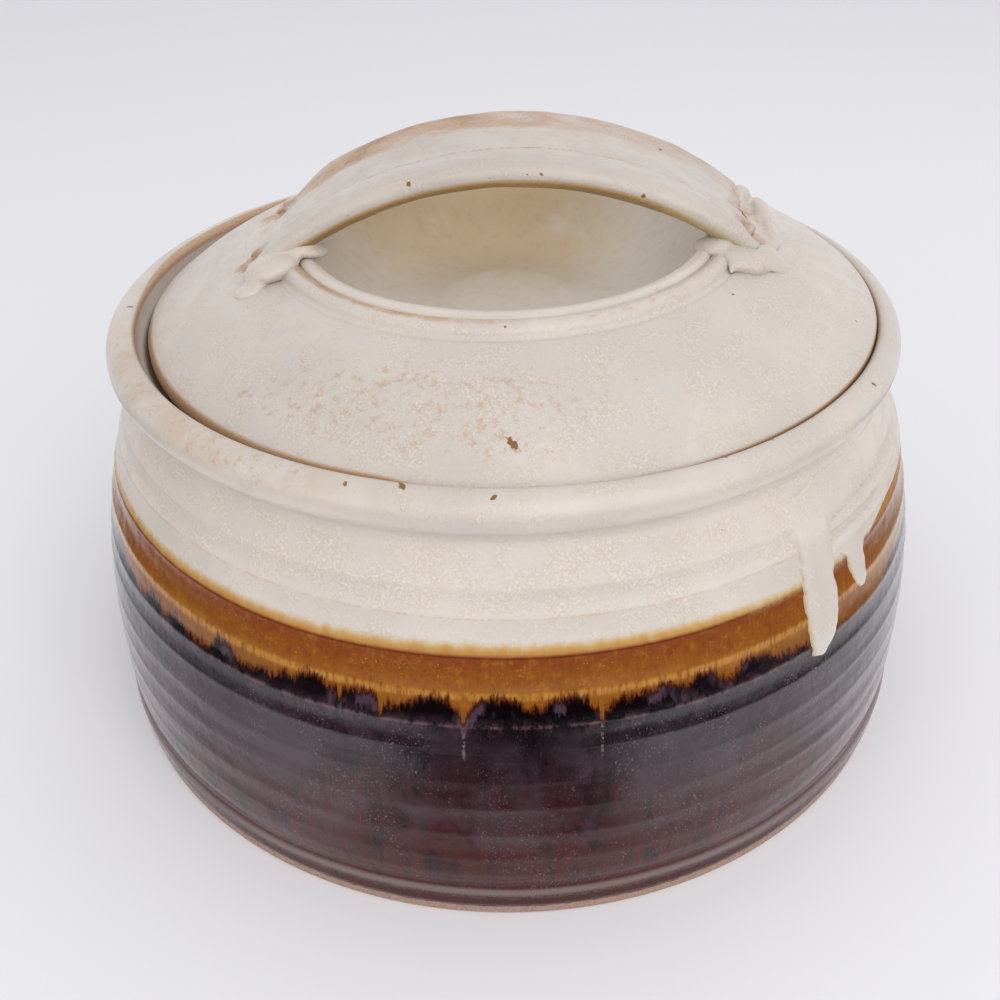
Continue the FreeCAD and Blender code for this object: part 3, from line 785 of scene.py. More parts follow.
def pot_material():
    """From the foot up: bare clay, dark glaze, amber where the two glazes meet, then oatmeal."""
    glaze = settings("glaze")
    material, tree = new_material("Pot glaze")
    place = tree.place()
    x, y, z = tree.split(place)
    turn = tree.math("ARCTAN2", x, tree.times(y, -1.0))
    turn = tree.scaled(turn, 1 / (2 * math.pi), 0.5)         # 0.5 at the front and 0.75 at its right
    radius = length_of(tree, x, y)
    above_floor = tree.math("GREATER_THAN", z, 6.0)
    wall = tree.scaled(tree.step(z, 40.0, 100.0), -14.0, 111.0)
    inner = tree.times(tree.math("LESS_THAN", radius, wall), above_floor)
    ripple = tree.noise(tree.moved(place, scale=(1, 1, 0.25)), 0.5, 3.0)
    above = tree.minus(z, oatmeal_edge(tree, turn))
    above = tree.plus(above, tree.scaled(ripple, 1.6, -0.8))
    is_cream = tree.most(tree.step(above, -0.9, 1.1), inner)
    meeting, tongue = meeting_colour(tree, place, z, turn, above)
    oatmeal, cream = pot_oatmeal(tree, place, z, radius, turn, above, inner)
    grit = tree.noise(place, 1.8, 4.0, 0.7)
    clay = tree.blend(tree.step(grit, 0.42, 0.62), glaze.clay, tinted(glaze.clay, 0.72, 0.72, 0.72))
    hem = tree.scaled(tree.noise(place, 0.35, 2.0), 1.4, z)
    # dark brown on the ledge and the gallery's lower wall under the lid: partly the glaze's own brown, partly
    # painted shade in the gap
    ledge = tree.times(band(tree, z, 100.5, 104.4, 0.6), inner, tree.step(radius, 87.5, 89.0))
    coated = layered(
        tree, tree.blend(is_cream, meeting, oatmeal),
        (tree.times(band(tree, hem, 7.2, 9.6, 0.7), tree.step(grit, 0.30, 0.60)), 0.45, (0.16, 0.13, 0.12)),
        # painted shade on the underside of the glaze roll, below about 7.5 mm
        (tree.step(hem, 8.0, 7.0), 0.75, (0.066, 0.020, 0.018)),
        # painted highlight: a light band along the shoulder of the glaze roll, 8.2 to 9.5 mm up
        (tree.times(band(tree, z, 8.2, 9.5, 0.6), tree.minus(1.0, inner)), 0.75, (0.23, 0.18, 0.17)),
        (ledge, 0.92, (0.085, 0.040, 0.016)))
    outside = tree.math("GREATER_THAN", radius, 108.0)
    glazed = tree.most(tree.times(tree.step(hem, 3.3, 3.7), outside), above_floor)
    gloss = tree.scaled(tree.noise(tree.moved(place, scale=(1, 1, 3)), 0.3, 3.0), 0.16, 0.12)
    rough = tree.between(glazed, 0.75, tree.between(is_cream, gloss, cream["Roughness"]))
    finish_glaze(tree, tree.blend(glazed, clay, coated), rough,
                 pot_height(tree, place, cream, is_cream, glazed, grit),
                 pot_shine(tree, z, turn, tongue, is_cream))
    return material


def lid_place(tree):
    """Place, height above the lid's underside and distance from its middle, in the tilted lid's own frame."""
    lid = settings("lid")
    place = tree.moved(tree.place(), shift=[-1 / MM * c for c in lid.place])
    x, y, z = tree.split(place)
    level = tree.scaled(x, lid.tilt[1], z)
    level = tree.scaled(y, -lid.tilt[0], level)
    return x, y, level, length_of(tree, x, y)


def lid_material(name, thin_at, break_at, crystal=0.5, spots=(), tint=None):
    """Oatmeal glaze with its own places where it lies thin and where it breaks."""
    material, tree = new_material(name)
    where = lid_place(tree)
    spot = placed_spots(tree, tree.place(), spots) if spots else None
    cream = use_group(tree, "Oatmeal glaze", thin=thin_at(tree, *where), crystal=crystal, spot=spot,
                      **{"break": break_at(tree, *where)})
    colour = tint(tree, cream["Color"], *where) if tint else cream["Color"]
    finish_glaze(tree, colour, cream["Roughness"], cream["Height"])
    return material


def dome_thin(tree, x, y, level, radius):
    """The glaze lies thin in a patch at the front left of the dome."""
    front = tree.times(tree.step(y, -46.0, -72.0), tree.step(x, 40.0, -5.0))
    patch = tree.times(front, band(tree, radius, 68.0, 90.0, 5.0))
    return tree.scaled(patch, 0.50, 0.05)


def dome_break(tree, x, y, level, radius):
    """The glaze breaks on the collar, in the seam beside it and all along the lid's edge."""
    mottle = tree.noise(tree.place(), 0.30, 4.0, 0.65)
    warm = tree.scaled(tree.step(x, 10.0, -25.0), 0.62, -0.80)
    collar = tree.times(band(tree, radius, 54.6, 58.4, 0.9), tree.scaled(mottle, 2.0, warm))
    seam = tree.times(band(tree, radius, 53.6, 54.9, 0.4), 0.50)
    collar = tree.most(collar, seam)
    side = tree.most(tree.step(x, -8.0, -30.0), tree.step(x, 22.0, 42.0))
    strength = tree.scaled(side, 0.7, 1.5)
    left = tree.times(tree.step(x, -8.0, -28.0), tree.step(y, 5.0, -20.0))
    reach = tree.scaled(side, 0.6, tree.scaled(left, 0.9, 2.7))
    edge = tree.times(tree.step(tree.minus(level, reach), 0.7, -0.5), strength)
    bands = tree.scaled(tree.step(radius, 84.0, 88.0), edge, collar)
    return tree.most(bands, luting_break(tree, x, y, level, radius))


def dome_painted_shade(tree, colour, x, y, level, radius):
    """Painted shade: darkens the dome a little all over, and more, a touch greyer, on its left."""
    left = tree.blend(tree.step(x, -15.0, -60.0), (0.95, 0.95, 0.955), (0.89, 0.895, 0.905))
    return tree.blend(1.0, colour, left, "MULTIPLY")


ARCH_DROP = 56.4                     # how far the middle of the strap's arch lies under the lid's underside


def strap_front(tree, x, y, level):
    """How far a place lies from the middle of the strap's arch, and whether it is on the strap's front edge."""
    arch = length_of(tree, x, tree.plus(level, ARCH_DROP))
    return arch, tree.times(tree.step(y, -15.5, -18.8), tree.step(arch, 97.5, 95.3))


def strap_tint(tree, colour, x, y, level, radius):
    """The whole strap is greyer, and its front edge more golden."""
    front = strap_front(tree, x, y, level)[1]
    tone = tree.blend(front, (0.84, 0.83, 0.83), (0.76, 0.76, 0.52))
    return tree.blend(1.0, colour, tone, "MULTIPLY")


def luting_tint(tree, colour, x, y, level, radius):
    """The lutings are a little darker and warmer than the dome."""
    return tree.blend(1.0, colour, (0.92, 0.905, 0.89), "MULTIPLY")


def well_thin(tree, x, y, level, radius):
    """The glaze lies thinner inside the well than on its lip."""
    return tree.times(tree.step(radius, 50.5, 47.0), 0.35)


def well_tint(tree, colour, x, y, level, radius):
    """Inside, painted light: a colour lighter than the glaze, greyer on the right and warmer towards the left;
    a darker brown on the far side, partly the glaze's stain and partly painted shade under the strap; and faint
    upright streaks.
    """
    inside = tree.step(radius, 51.5, 48.5)
    # painted light: a fixed colour lighter than the glaze, darker and warmer towards the left
    shade = tree.blend(tree.step(x, 0.0, 34.0), (0.80, 0.725, 0.62), (0.92, 0.88, 0.81))
    painted_light_inside = tree.blend(tree.times(inside, 0.8), colour, shade)
    place = tree.place()
    cloud = tree.noise(place, 0.05, 3.0)
    # darker brown on the far wall under the strap: partly the glaze's stain, partly painted shade
    far = tree.times(tree.step(y, -8.0, 34.0), tree.step(x, 48.0, 12.0), tree.step(cloud, 0.16, 0.46))
    stain_and_shade = tree.blend(tree.times(far, inside, 0.95), painted_light_inside, (0.80, 0.67, 0.46), "MULTIPLY")
    streak = tree.noise(tree.moved(place, scale=(1, 1, 0.12)), 0.35, 3.0, 0.6)
    fine = tree.times(tree.step(streak, 0.50, 0.70), inside)
    return tree.blend(tree.times(fine, 0.35), stain_and_shade, (0.85, 0.76, 0.62), "MULTIPLY")


def strap_break(tree, x, y, level, radius):
    """The glaze breaks along the strap's two edges and in the line that a finger left."""
    arch, front = strap_front(tree, x, y, level)
    patchy = tree.scaled(tree.noise(tree.moved(tree.place(), scale=(0.5, 1, 1)), 0.13, 4.0, 0.6), 2.4, -0.35)
    along = tree.scaled(tree.step(x, 26.0, -10.0), 0.55, 0.55)
    back = tree.times(tree.step(y, 7.5, 12.0), patchy, along)
    front = tree.times(front, tree.scaled(tree.step(x, 50.0, 22.0), 0.6, 0.4))
    dots = tree.step(tree.noise(tree.place(), 0.6, 1.0), 0.45, 0.55)
    finger_line = tree.times(band(tree, y, -5.9, -4.6, 0.6), dots)
    outer = tree.step(arch, 97.5, 98.5)
    lines = tree.times(tree.scaled(finger_line, 1.1, back), outer)
    bands = tree.scaled(front, tree.scaled(patchy, 0.6, 1.0), lines)
    return tree.most(bands, luting_break(tree, x, y, level, radius))


def luting_break(tree, x, y, level, radius):
    """Bare patches where the clay is torn, in the pot's own frame."""
    place = tree.place()
    across, along = tree.split(place)[:2]
    fray = tree.scaled(tree.noise(place, 0.45, 3.0, 0.6), 1.2, -0.6)
    total = None
    for centre, reach, strength in TORN:
        sides = [tree.math("DIVIDE", tree.minus(value, middle), size)
                 for value, middle, size in zip((across, along), centre, reach)]
        far = tree.plus(length_of(tree, *sides), fray)
        patch = tree.times(tree.step(far, 1.15, 0.5), strength)
        total = patch if total is None else tree.most(total, patch)
    return total


def even(value):
    """The same value all over a piece."""
    return lambda tree, x, y, level, radius: value


def run_material():
    """Thick oatmeal glaze, with a honey-coloured edge where it thins out."""
    glaze = settings("glaze")
    material, tree = new_material("Run glaze")
    cream = use_group(tree, "Oatmeal glaze", thin=0.05, crystal=0.25, **{"break": 0.0})
    depth = tree.add("Attribute", attribute_name="depth")
    low = tree.step(tree.split(tree.place())[2], 80.0, 76.0)
    edge = tree.times(tree.step(depth.outputs["Fac"], 0.70, 0.20), low)
    colour = tree.blend(tree.times(edge, 0.75), cream["Color"], (0.62, 0.42, 0.17))
    line = tree.add("Attribute", attribute_name="line")
    grit = tree.step(tree.noise(tree.place(), 0.9, 3.0, 0.6), 0.35, 0.60)
    lined = tree.times(line.outputs["Fac"], tree.scaled(grit, 0.6, 0.4))
    colour = tree.blend(lined, colour, glaze.tan)
    finish_glaze(tree, colour, cream["Roughness"], cream["Height"])
    return material


# ---------------------------------------------------------------- shapes shared by the operators

WIDEST = 16.3                        # height at which the wall is widest
NECK = 98.0                          # height of the neck under the rolled rim
# heights of the sharp crests on the wall, and how deep it is scooped between each and the next
CRESTS = (12.4, 20.6, 28.8, 36.8, 44.8, 52.8, 59.1, 67.2, 75.0, 82.9, 88.6, NECK)
SCOOPS = (0.12, 0.16, 0.18, 0.20, 0.22, 0.30, 0.34, 0.38, 0.42, 0.50, 0.50)
FOOT_ROLL = 0.60                     # how far the glaze stands out in a roll above the bare clay
FOOT_SCOOP = 0.35                    # how deep the wall is scooped just above that roll


def plain_radius(height):
    """Outside of the pot in millimetres, without its throwing rings."""
    pot = settings("pot")
    belly, neck, foot = (size / MM for size in (pot.belly_radius, pot.neck_radius, pot.foot_radius))
    if height < WIDEST:
        return belly - (belly - foot) * (1 - height / WIDEST) ** 2
    return belly - (belly - neck) * ((height - WIDEST) / (NECK - WIDEST)) ** 2.25


def outer_radius(height):
    """Outside of the pot in millimetres, scooped by the thrower's fingers between sharp crests."""
    roll = FOOT_ROLL * rise(height, 10.3, 8.2) * rise(height, 2.6, 4.4)
    scoop = FOOT_SCOOP * rise(height, 15.5, 11.6) * rise(height, 8.2, 10.3)
    radius = plain_radius(height) + roll - scoop + 0.25 * rise(height, 25.0, 60.0) * rise(height, NECK, 94.0)
    for bottom, top, depth in zip(CRESTS, CRESTS[1:], SCOOPS):
        if bottom <= height <= top:
            share = (height - bottom) / (top - bottom)
            return radius + depth * ((2 * share - 1) ** 2 - 1 / 3)
    return radius


def inner_radius(height):
    """Inside of the pot in millimetres, with the thrower's soft rings."""
    pot = settings("pot")
    return plain_radius(height) - pot.wall / MM + 0.25 * math.sin(height * 0.9)


def hem_height(turn):
    """Lower edge of the thick oatmeal glaze on the right of the pot, at some degrees from the front."""
    return 75.6 + 2.6 * rise(turn, 50.0, 60.0)


def hem_weight(place):
    """Where the oatmeal glaze ends in a thick hem, from the runs round to the back."""
    turn = math.degrees(math.atan2(place.x, -place.y))
    above = place.z - hem_height(turn)
    return rise(turn, 49.0, 55.0) * rise(turn, 125.0, 100.0) * rise(above, -0.5, 0.7) * rise(above, 6.0, 2.2)


# outlines of the thick glaze, in degrees right of the front and height
LONG_RUN = ((36.4, 92.0), (36.9, 86.0), (37.2, 80.0), (37.3, 74.8), (37.5, 69.4), (37.6, 64.8), (38.0, 59.8),
            (38.4, 56.6), (39.2, 55.7), (40.2, 55.7), (41.1, 57.2), (42.3, 59.3), (42.8, 62.0), (43.1, 66.1),
            (43.2, 69.7), (42.7, 73.7), (43.0, 76.5), (43.2, 84.4), (43.6, 92.0))
SHORT_RUN = ((42.4, 77.8), (43.5, 76.3), (44.8, 76.4), (45.9, 74.6), (46.4, 72.1), (46.9, 68.9), (47.6, 66.3),
             (48.7, 64.2), (49.5, 64.8), (50.1, 66.8), (50.0, 70.0), (49.9, 74.0), (50.3, 75.6), (52.3, 76.2),
             (55.8, 77.6), (60.1, 78.3), (66.0, 78.6), (66.0, 80.4), (55.0, 80.6), (43.0, 80.8))
POOL = ((36.0, 93.0), (36.6, 84.0), (42.6, 83.9), (44.0, 84.7), (47.5, 85.5), (51.1, 86.0), (55.4, 86.1),
        (58.0, 86.3), (60.8, 87.4), (63.5, 89.5), (65.5, 93.0), (60.0, 97.0), (45.0, 97.0))
RUN_DEPTH = 1.35                     # how far the long run stands out from the wall
RUN_EDGE = 2.3                       # how wide its rounded edge is
SINK = 0.9                           # how deep in the wall the sheet starts that the runs swell out of
ARC_STEP = 1.92                      # millimetres of wall in a degree


def depth_inside(turn, height, outline):
    """Millimetres from a place on the wall to an outline's edge, less than 0 outside it."""
    across, nearest, inside = turn * ARC_STEP, 99.0, False
    for (turn_0, low), (turn_1, high) in zip(outline, outline[1:] + outline[:1]):
        start = turn_0 * ARC_STEP
        run, climb = turn_1 * ARC_STEP - start, high - low
        share = ((across - start) * run + (height - low) * climb) / (run * run + climb * climb)
        share = min(1.0, max(0.0, share))
        nearest = min(nearest, math.hypot(across - start - share * run, height - low - share * climb))
        if (low > height) != (high > height) and across < start + (height - low) / climb * run:
            inside = not inside
    return nearest if inside else -nearest


def bead(inside, full, edge):
    """Thickness of the glaze at some distance inside its edge: round at the edge and flat further in."""
    if inside <= 0:
        return 0.0
    share = min(1.0, inside / edge)
    return full * math.sqrt(1 - (1 - share) ** 2)


def run_depth(turn, height):
    """How thick the run glaze lies on the wall, in millimetres, and whether its tan line is there."""
    stray = 0.5 * noise.noise(Vector((turn * 1.3, height * 0.5, 5.0)))
    long_run, short_run, pool = (depth_inside(turn, height, outline) + stray
                                 for outline in (LONG_RUN, SHORT_RUN, POOL))
    fade = rise(turn, 35.0, 43.0) * rise(height, 96.0, 90.0)
    depth = max(bead(long_run, RUN_DEPTH, RUN_EDGE) * rise(height, 92.0, 84.0),
                bead(short_run, 0.75 * RUN_DEPTH, 2.0) * rise(turn, 66.0, 58.0),
                bead(pool, 0.6 * RUN_DEPTH, 2.4) * fade * rise(height, 96.0, 85.0) * rise(turn, 66.0, 46.0))
    line = rise(abs(pool), 0.75, 0.15) * rise(turn, 43.0, 44.5) * rise(height, 91.0, 88.0)
    return depth, line if long_run < 0 else 0.0


# lumps of clay pressed on with the lutings, each a centre, radii and how far it is tipped to the right
LUMPS = {
    "left": (((-48.2, -16.5, 127.6), (5.4, 5.4, 2.0), 14), ((-56.5, -21.8, 124.3), (7.2, 6.8, 2.9), -16),
             ((-61.5, -27.0, 120.6), (4.5, 4.0, 1.7), -18), ((-63.5, 6.0, 121.8), (5.0, 15.0, 2.2), -20)),
    "right": (((50.4, -18.5, 127.6), (4.8, 5.0, 2.0), -12), ((57.6, -22.6, 125.1), (6.8, 6.0, 3.1), 16),
              ((62.8, 14.0, 128.6), (2.9, 3.2, 2.6), 30), ((67.0, -20.5, 120.7), (9.0, 4.0, 1.5), 20),
              ((67.2, 9.0, 125.2), (2.6, 9.0, 3.2), 15), ((67.2, -5.0, 124.2), (2.6, 8.0, 2.8), 15)),
}
# where the clay is torn and the glaze has drawn off it: middle, reach each way and strength
TORN = (((-63.5, -13.5), (4.2, 4.0), 1.3), ((-62.8, 16.0), (4.2, 9.0), 1.15), ((-60.5, 1.0), (3.5, 6.0), 0.45),
        ((62.0, 1.5), (2.6, 3.0), 1.5), ((61.5, 2.5), (5.5, 7.0), 0.6), ((59.8, -14.5), (6.0, 5.0), 0.65))


def lump(centre, radii, tip):
    """An egg-shaped lump of clay, tipped to the right by some degrees."""
    deselect()
    bpy.ops.mesh.primitive_uv_sphere_add(segments=32, ring_count=16, radius=MM, location=Vector(centre) * MM,
                                         rotation=(0, math.radians(tip), 0))
    piece = bpy.context.object
    piece.scale = radii
    bpy.ops.object.transform_apply(location=True, rotation=True, scale=True)
    return piece


def add_to(piece, others):
    """Joins other pieces to a piece."""
    only(piece)
    for other in others:
        other.select_set(True)
    bpy.ops.object.join()


def fresh_copy(source, name):
    """A copy of a finished piece, without its material."""
    piece = bpy.data.objects.new(name, source.data.copy())
    piece.data.materials.clear()
    bpy.context.scene.collection.objects.link(piece)
    return piece


def trim_inside(piece, edge):
    """Cuts off what lies nearer to the pot's middle than an edge at its left or right."""
    only(piece)
    bpy.ops.object.mode_set(mode="EDIT")
    bpy.ops.mesh.select_all(action="SELECT")
    bpy.ops.mesh.bisect(plane_co=(edge, 0, 0), plane_no=(-edge, 0, 0), use_fill=True, clear_outer=True)
    bpy.ops.object.mode_set(mode="OBJECT")


def overlaps(piece, neighbours, reach):
    """The parts of the neighbours within reach of a piece, a little sunk, to blend it into them."""
    guard = fresh_copy(piece, "guard")
    push(guard, "Reach", reach)
    apply_modifier(guard, "REMESH", "Close", mode="VOXEL", voxel_size=0.8 * MM)
    edge = min((corner[0] for corner in guard.bound_box), key=abs)
    chunks = []
    for neighbour in neighbours:
        chunk = fresh_copy(neighbour, "chunk")
        apply_modifier(chunk, "BOOLEAN", "Near", operation="INTERSECT", object=guard, solver="FAST")
        trim_inside(chunk, edge)
        push(chunk, "Sink", -0.12)
        chunks.append(chunk)
    bpy.data.objects.remove(guard)
    return chunks


# ---------------------------------------------------------------- operators

class BEANPOT_OT_throw_pot(bpy.types.Operator):
    """Throws the pot: foot, ringed wall, rolled rim, gallery and inside"""
    bl_idname = "bean_pot.throw_pot"
    bl_label = "Throw Pot"

    def execute(self, context):
        pot = settings("pot")
        top = pot.rim_top / MM - 0.1
        bevel, hem, roll_size = 0.6, 2.4, 4.9
        ledge, ledge_bevel, throat, cove_size = 103.0, 1.5, 90.9, 13.0
        # the foot with its recess
        outline = Profile(0, 1.5)
        outline.line(97.0, 1.5, 5)
        outline.line(98.5, 0.3, 2)
        outline.round((99.2, 0.7), 0.7, 210, 270, 3)
        edge = outer_radius(hem) - bevel
        outline.line(edge, 0, 2)
        outline.round((edge, bevel), bevel, -90, 0, 4)
        # the outside of the wall
        outline.line(outer_radius(hem), hem, 3)
        outline.follow(outer_radius, hem, NECK, 180)
        # the rolled rim
        roll = Vector((97.3, top - roll_size))
        slope = math.radians(-55)
        under = roll + roll_size * Vector((math.cos(slope), math.sin(slope)))
        outline.bow(*under, 0.25, 6)
        outline.round(roll, roll_size, -55, 90, 22)
        outline.round((roll.x, top - 1.8), 1.8, 90, 180, 7)
        # the gallery and the ledge that the lid sits on
        outline.line(95.5, ledge + roll_size, 1)
        outline.round((95.5 - roll_size, ledge + roll_size), roll_size, 0, -90, 9)
        outline.line(88.5, ledge, 1)
        outline.round((88.5, ledge - ledge_bevel), ledge_bevel, 90, 180, 4)
        # the inside
        outline.bow(inner_radius(throat), throat, 0.6, 5)
        outline.follow(inner_radius, throat, 21.0, 34)
        outline.round((inner_radius(21.0) - cove_size, 21.0), cove_size, 0, -90, 9)
        outline.line(0, 21.0 - cove_size, 6)
        piece = outline.turned("pot_wall", pot.steps)
        free = weigh(piece, "above the foot", lambda place: rise(place.z, 1.0, 10.0))
        handmade(piece, "out of round", 55 * MM, pot.wobble, group=free)
        handmade(piece, "throwing rings", 4.5 * MM, 0.6 * pot.wobble, (9, 9, 1), group=free)
        push(piece, "Lean", -0.8, lambda place: rise(place.z, 95, 101) * rise(place.xy.length, 96.3, 99), "X")
        push(piece, "Hem", 0.8, hem_weight)
        paint(piece, pot_material())
        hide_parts("pot_body")
        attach(piece, "pot")
        return {"FINISHED"}


class BEANPOT_OT_run_glaze(bpy.types.Operator):
    """Lays the thick runs of oatmeal glaze on the wall"""
    bl_idname = "bean_pot.run_glaze"
    bl_label = "Run Glaze"

    def execute(self, context):
        def sheet_radius(height):
            return plain_radius(height) + 0.3 - SINK

        low, high = 53.5, 97.0
        last, sweep = 69, 37             # degrees right of the front where the sheet ends, and its width
        outline = Profile(sheet_radius(low), low)
        outline.follow(sheet_radius, low, high, 132)
        piece = outline.turned("glaze_drips", 228, math.radians(sweep))
        piece.rotation_euler.z = math.radians(last - 90)
        only(piece)
        bpy.ops.object.transform_apply(location=True, rotation=True, scale=True)
        found = [run_depth(math.degrees(math.atan2(v.co.x, -v.co.y)), v.co.z / MM) for v in piece.data.vertices]
        depths = [depth for depth, line in found]
        for name, values in (("depth", depths), ("line", [line for depth, line in found])):
            stored = piece.data.attributes.new(name, "FLOAT", "POINT")
            stored.data.foreach_set("value", values)
        group = piece.vertex_groups.new(name="depth")
        for index, depth in enumerate(depths):
            if depth > 0:
                group.add([index], (SINK + depth) / (SINK + RUN_DEPTH), "REPLACE")
        apply_modifier(piece, "DISPLACE", "Run", strength=(SINK + RUN_DEPTH) * MM, mid_level=0,
                       vertex_group=group.name)
        apply_modifier(piece, "SMOOTH", "Melt", factor=0.5, iterations=4)
        apply_modifier(piece, "SOLIDIFY", "Body", thickness=1.0 * MM, offset=-1)
        piece.vertex_groups.clear()
        bpy.ops.object.shade_smooth()
        paint(piece, run_material())
        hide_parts("glaze_runs")
        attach(piece, "pot")
        return {"FINISHED"}


class BEANPOT_OT_throw_lid(bpy.types.Operator):
    """Throws the lid's dome, with its rounded edge and the collar round the well"""
    bl_idname = "bean_pot.throw_lid"
    bl_label = "Throw Lid"

    def execute(self, context):
        lid = settings("lid")
        edge, collar, seam = lid.edge_radius / MM, lid.collar_radius / MM, lid.seam_radius / MM
        foot = lid.collar_foot / MM
        outline = Profile(seam, foot - 6.0)
        outline.bow(edge - 7.9, 0, 2.2, 24)
        outline.line(edge - 1.9, 0, 4)
        outline.round((edge - 1.9, 1.9), 1.9, -90, 0, 8)
        outline.round((edge - 1.9, 2.6), 1.9, 0, 65, 6)
        outline.bow(collar + 4.4, foot - 0.3, -2.2, 60)
        outline.bow(collar + 2.75, foot + 0.4, 0.3, 6)
        outline.round((collar, foot - 0.05), 2.75, 10, 160, 24)
        outline.line(seam - 0.6, foot - 0.6, 2)
        outline.line(seam, foot - 6.0, 6)
        piece = outline.turned("lid_dome", settings("pot").steps)
        push(piece, "Lean", -lid.lean / MM, lambda place: 1 - 0.6 * rise(place.xy.length, 62, 85), "X")
        seat_on_ledge(piece)
        handmade(piece, "lid out of round", 50 * MM, 0.35 * MM)
        handmade(piece, "lid rings", 9 * MM, 0.16 * MM, (3, 3, 1))
        paint(piece, lid_material("Lid glaze", dome_thin, dome_break, 0.6, LID_SPOTS, dome_painted_shade))
        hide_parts("lid_cover")
        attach(piece, "lid")
        return {"FINISHED"}


class BEANPOT_OT_throw_well(bpy.types.Operator):
    """Throws the finger well that is let into the lid"""
    bl_idname = "bean_pot.throw_well"
    bl_label = "Throw Well"

    def execute(self, context):
        lid = settings("lid")
        seam, lip = lid.seam_radius / MM, lid.collar_foot / MM + 2.8
        floor = lip - lid.well_depth / MM
        outline = Profile(0, floor - 4.5)
        outline.line(16, floor - 4.5, 8)
        outline.bow(seam, floor + 11.2, -5.5, 24)
        outline.line(seam, floor + 18.7, 6)
        outline.round((seam - 2.07, lip - 2.3), 2.3, 25.8, 190, 20)
        outline.bow(16, floor, 7.0, 44)
        outline.line(0, floor, 10)
        piece = outline.turned("finger_well", settings("pot").steps)
        push(piece, "Lean", -lid.lean / MM, direction="X")
        seat_on_ledge(piece)
        handmade(piece, "well out of round", 30 * MM, 0.35 * MM)
        paint(piece, lid_material("Well glaze", well_thin, even(0.0), 0.1, tint=well_tint))
        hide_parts("lid_well")
        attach(piece, "lid")
        return {"FINISHED"}


class BEANPOT_OT_pull_strap(bpy.types.Operator):
    """Softens the pulled strap and presses its ends into the lid"""
    bl_idname = "bean_pot.pull_strap"
    bl_label = "Pull Strap"

    def execute(self, context):
        piece = node_copy("handle_strap", "pulled_strap")
        apply_modifier(piece, "REMESH", "Soften", mode="VOXEL", voxel_size=0.45 * MM)
        apply_modifier(piece, "SMOOTH", "Wipe", factor=0.5, iterations=8)
        push(piece, "Gather", 3.5, lambda place: rise(place.y, 2, 20) * rise(place.x, -44, -62), "X")
        push(piece, "Settle", -0.06, direction="Z")
        handmade(piece, "strap waves", 16 * MM, 0.6 * MM)
        handmade(piece, "strap wipes", 4 * MM, 0.25 * MM, (6, 1, 1))
        bpy.ops.object.shade_smooth()
        material = lid_material("Strap glaze", even(0.05), strap_break, 0.35, STRAP_SPOTS, strap_tint)
        paint(piece, material)
        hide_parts("handle_strap")
        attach(piece, "lid")
        return {"FINISHED"}


class BEANPOT_OT_press_lutings(bpy.types.Operator):
    """Presses clay over both ends of the strap and smears it into the lid"""
    bl_idname = "bean_pot.press_lutings"
    bl_label = "Press Lutings"

    def execute(self, context):
        material = lid_material("Luting glaze", even(0.1), luting_break, 0.3, tint=luting_tint)
        neighbours = [bpy.data.objects[name] for name in ("lid_dome", "finger_well", "pulled_strap")]
        for side, lumps in LUMPS.items():
            piece = node_copy(side + "_luting", side + "_smear")
            add_to(piece, [lump(*sizes) for sizes in lumps])
            apply_modifier(piece, "REMESH", "Knead", mode="VOXEL", voxel_size=0.5 * MM)
            handmade(piece, side + " thumbed", 5 * MM, 1.0 * MM)
            add_to(piece, overlaps(piece, neighbours, 2.4))
            apply_modifier(piece, "REMESH", "Soften", mode="VOXEL", voxel_size=0.32 * MM)
            apply_modifier(piece, "SMOOTH", "Wipe", factor=0.5, iterations=30)
            bpy.ops.object.shade_smooth()
            paint(piece, material)
            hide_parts(side + "_luting")
            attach(piece, "lid")
        return {"FINISHED"}


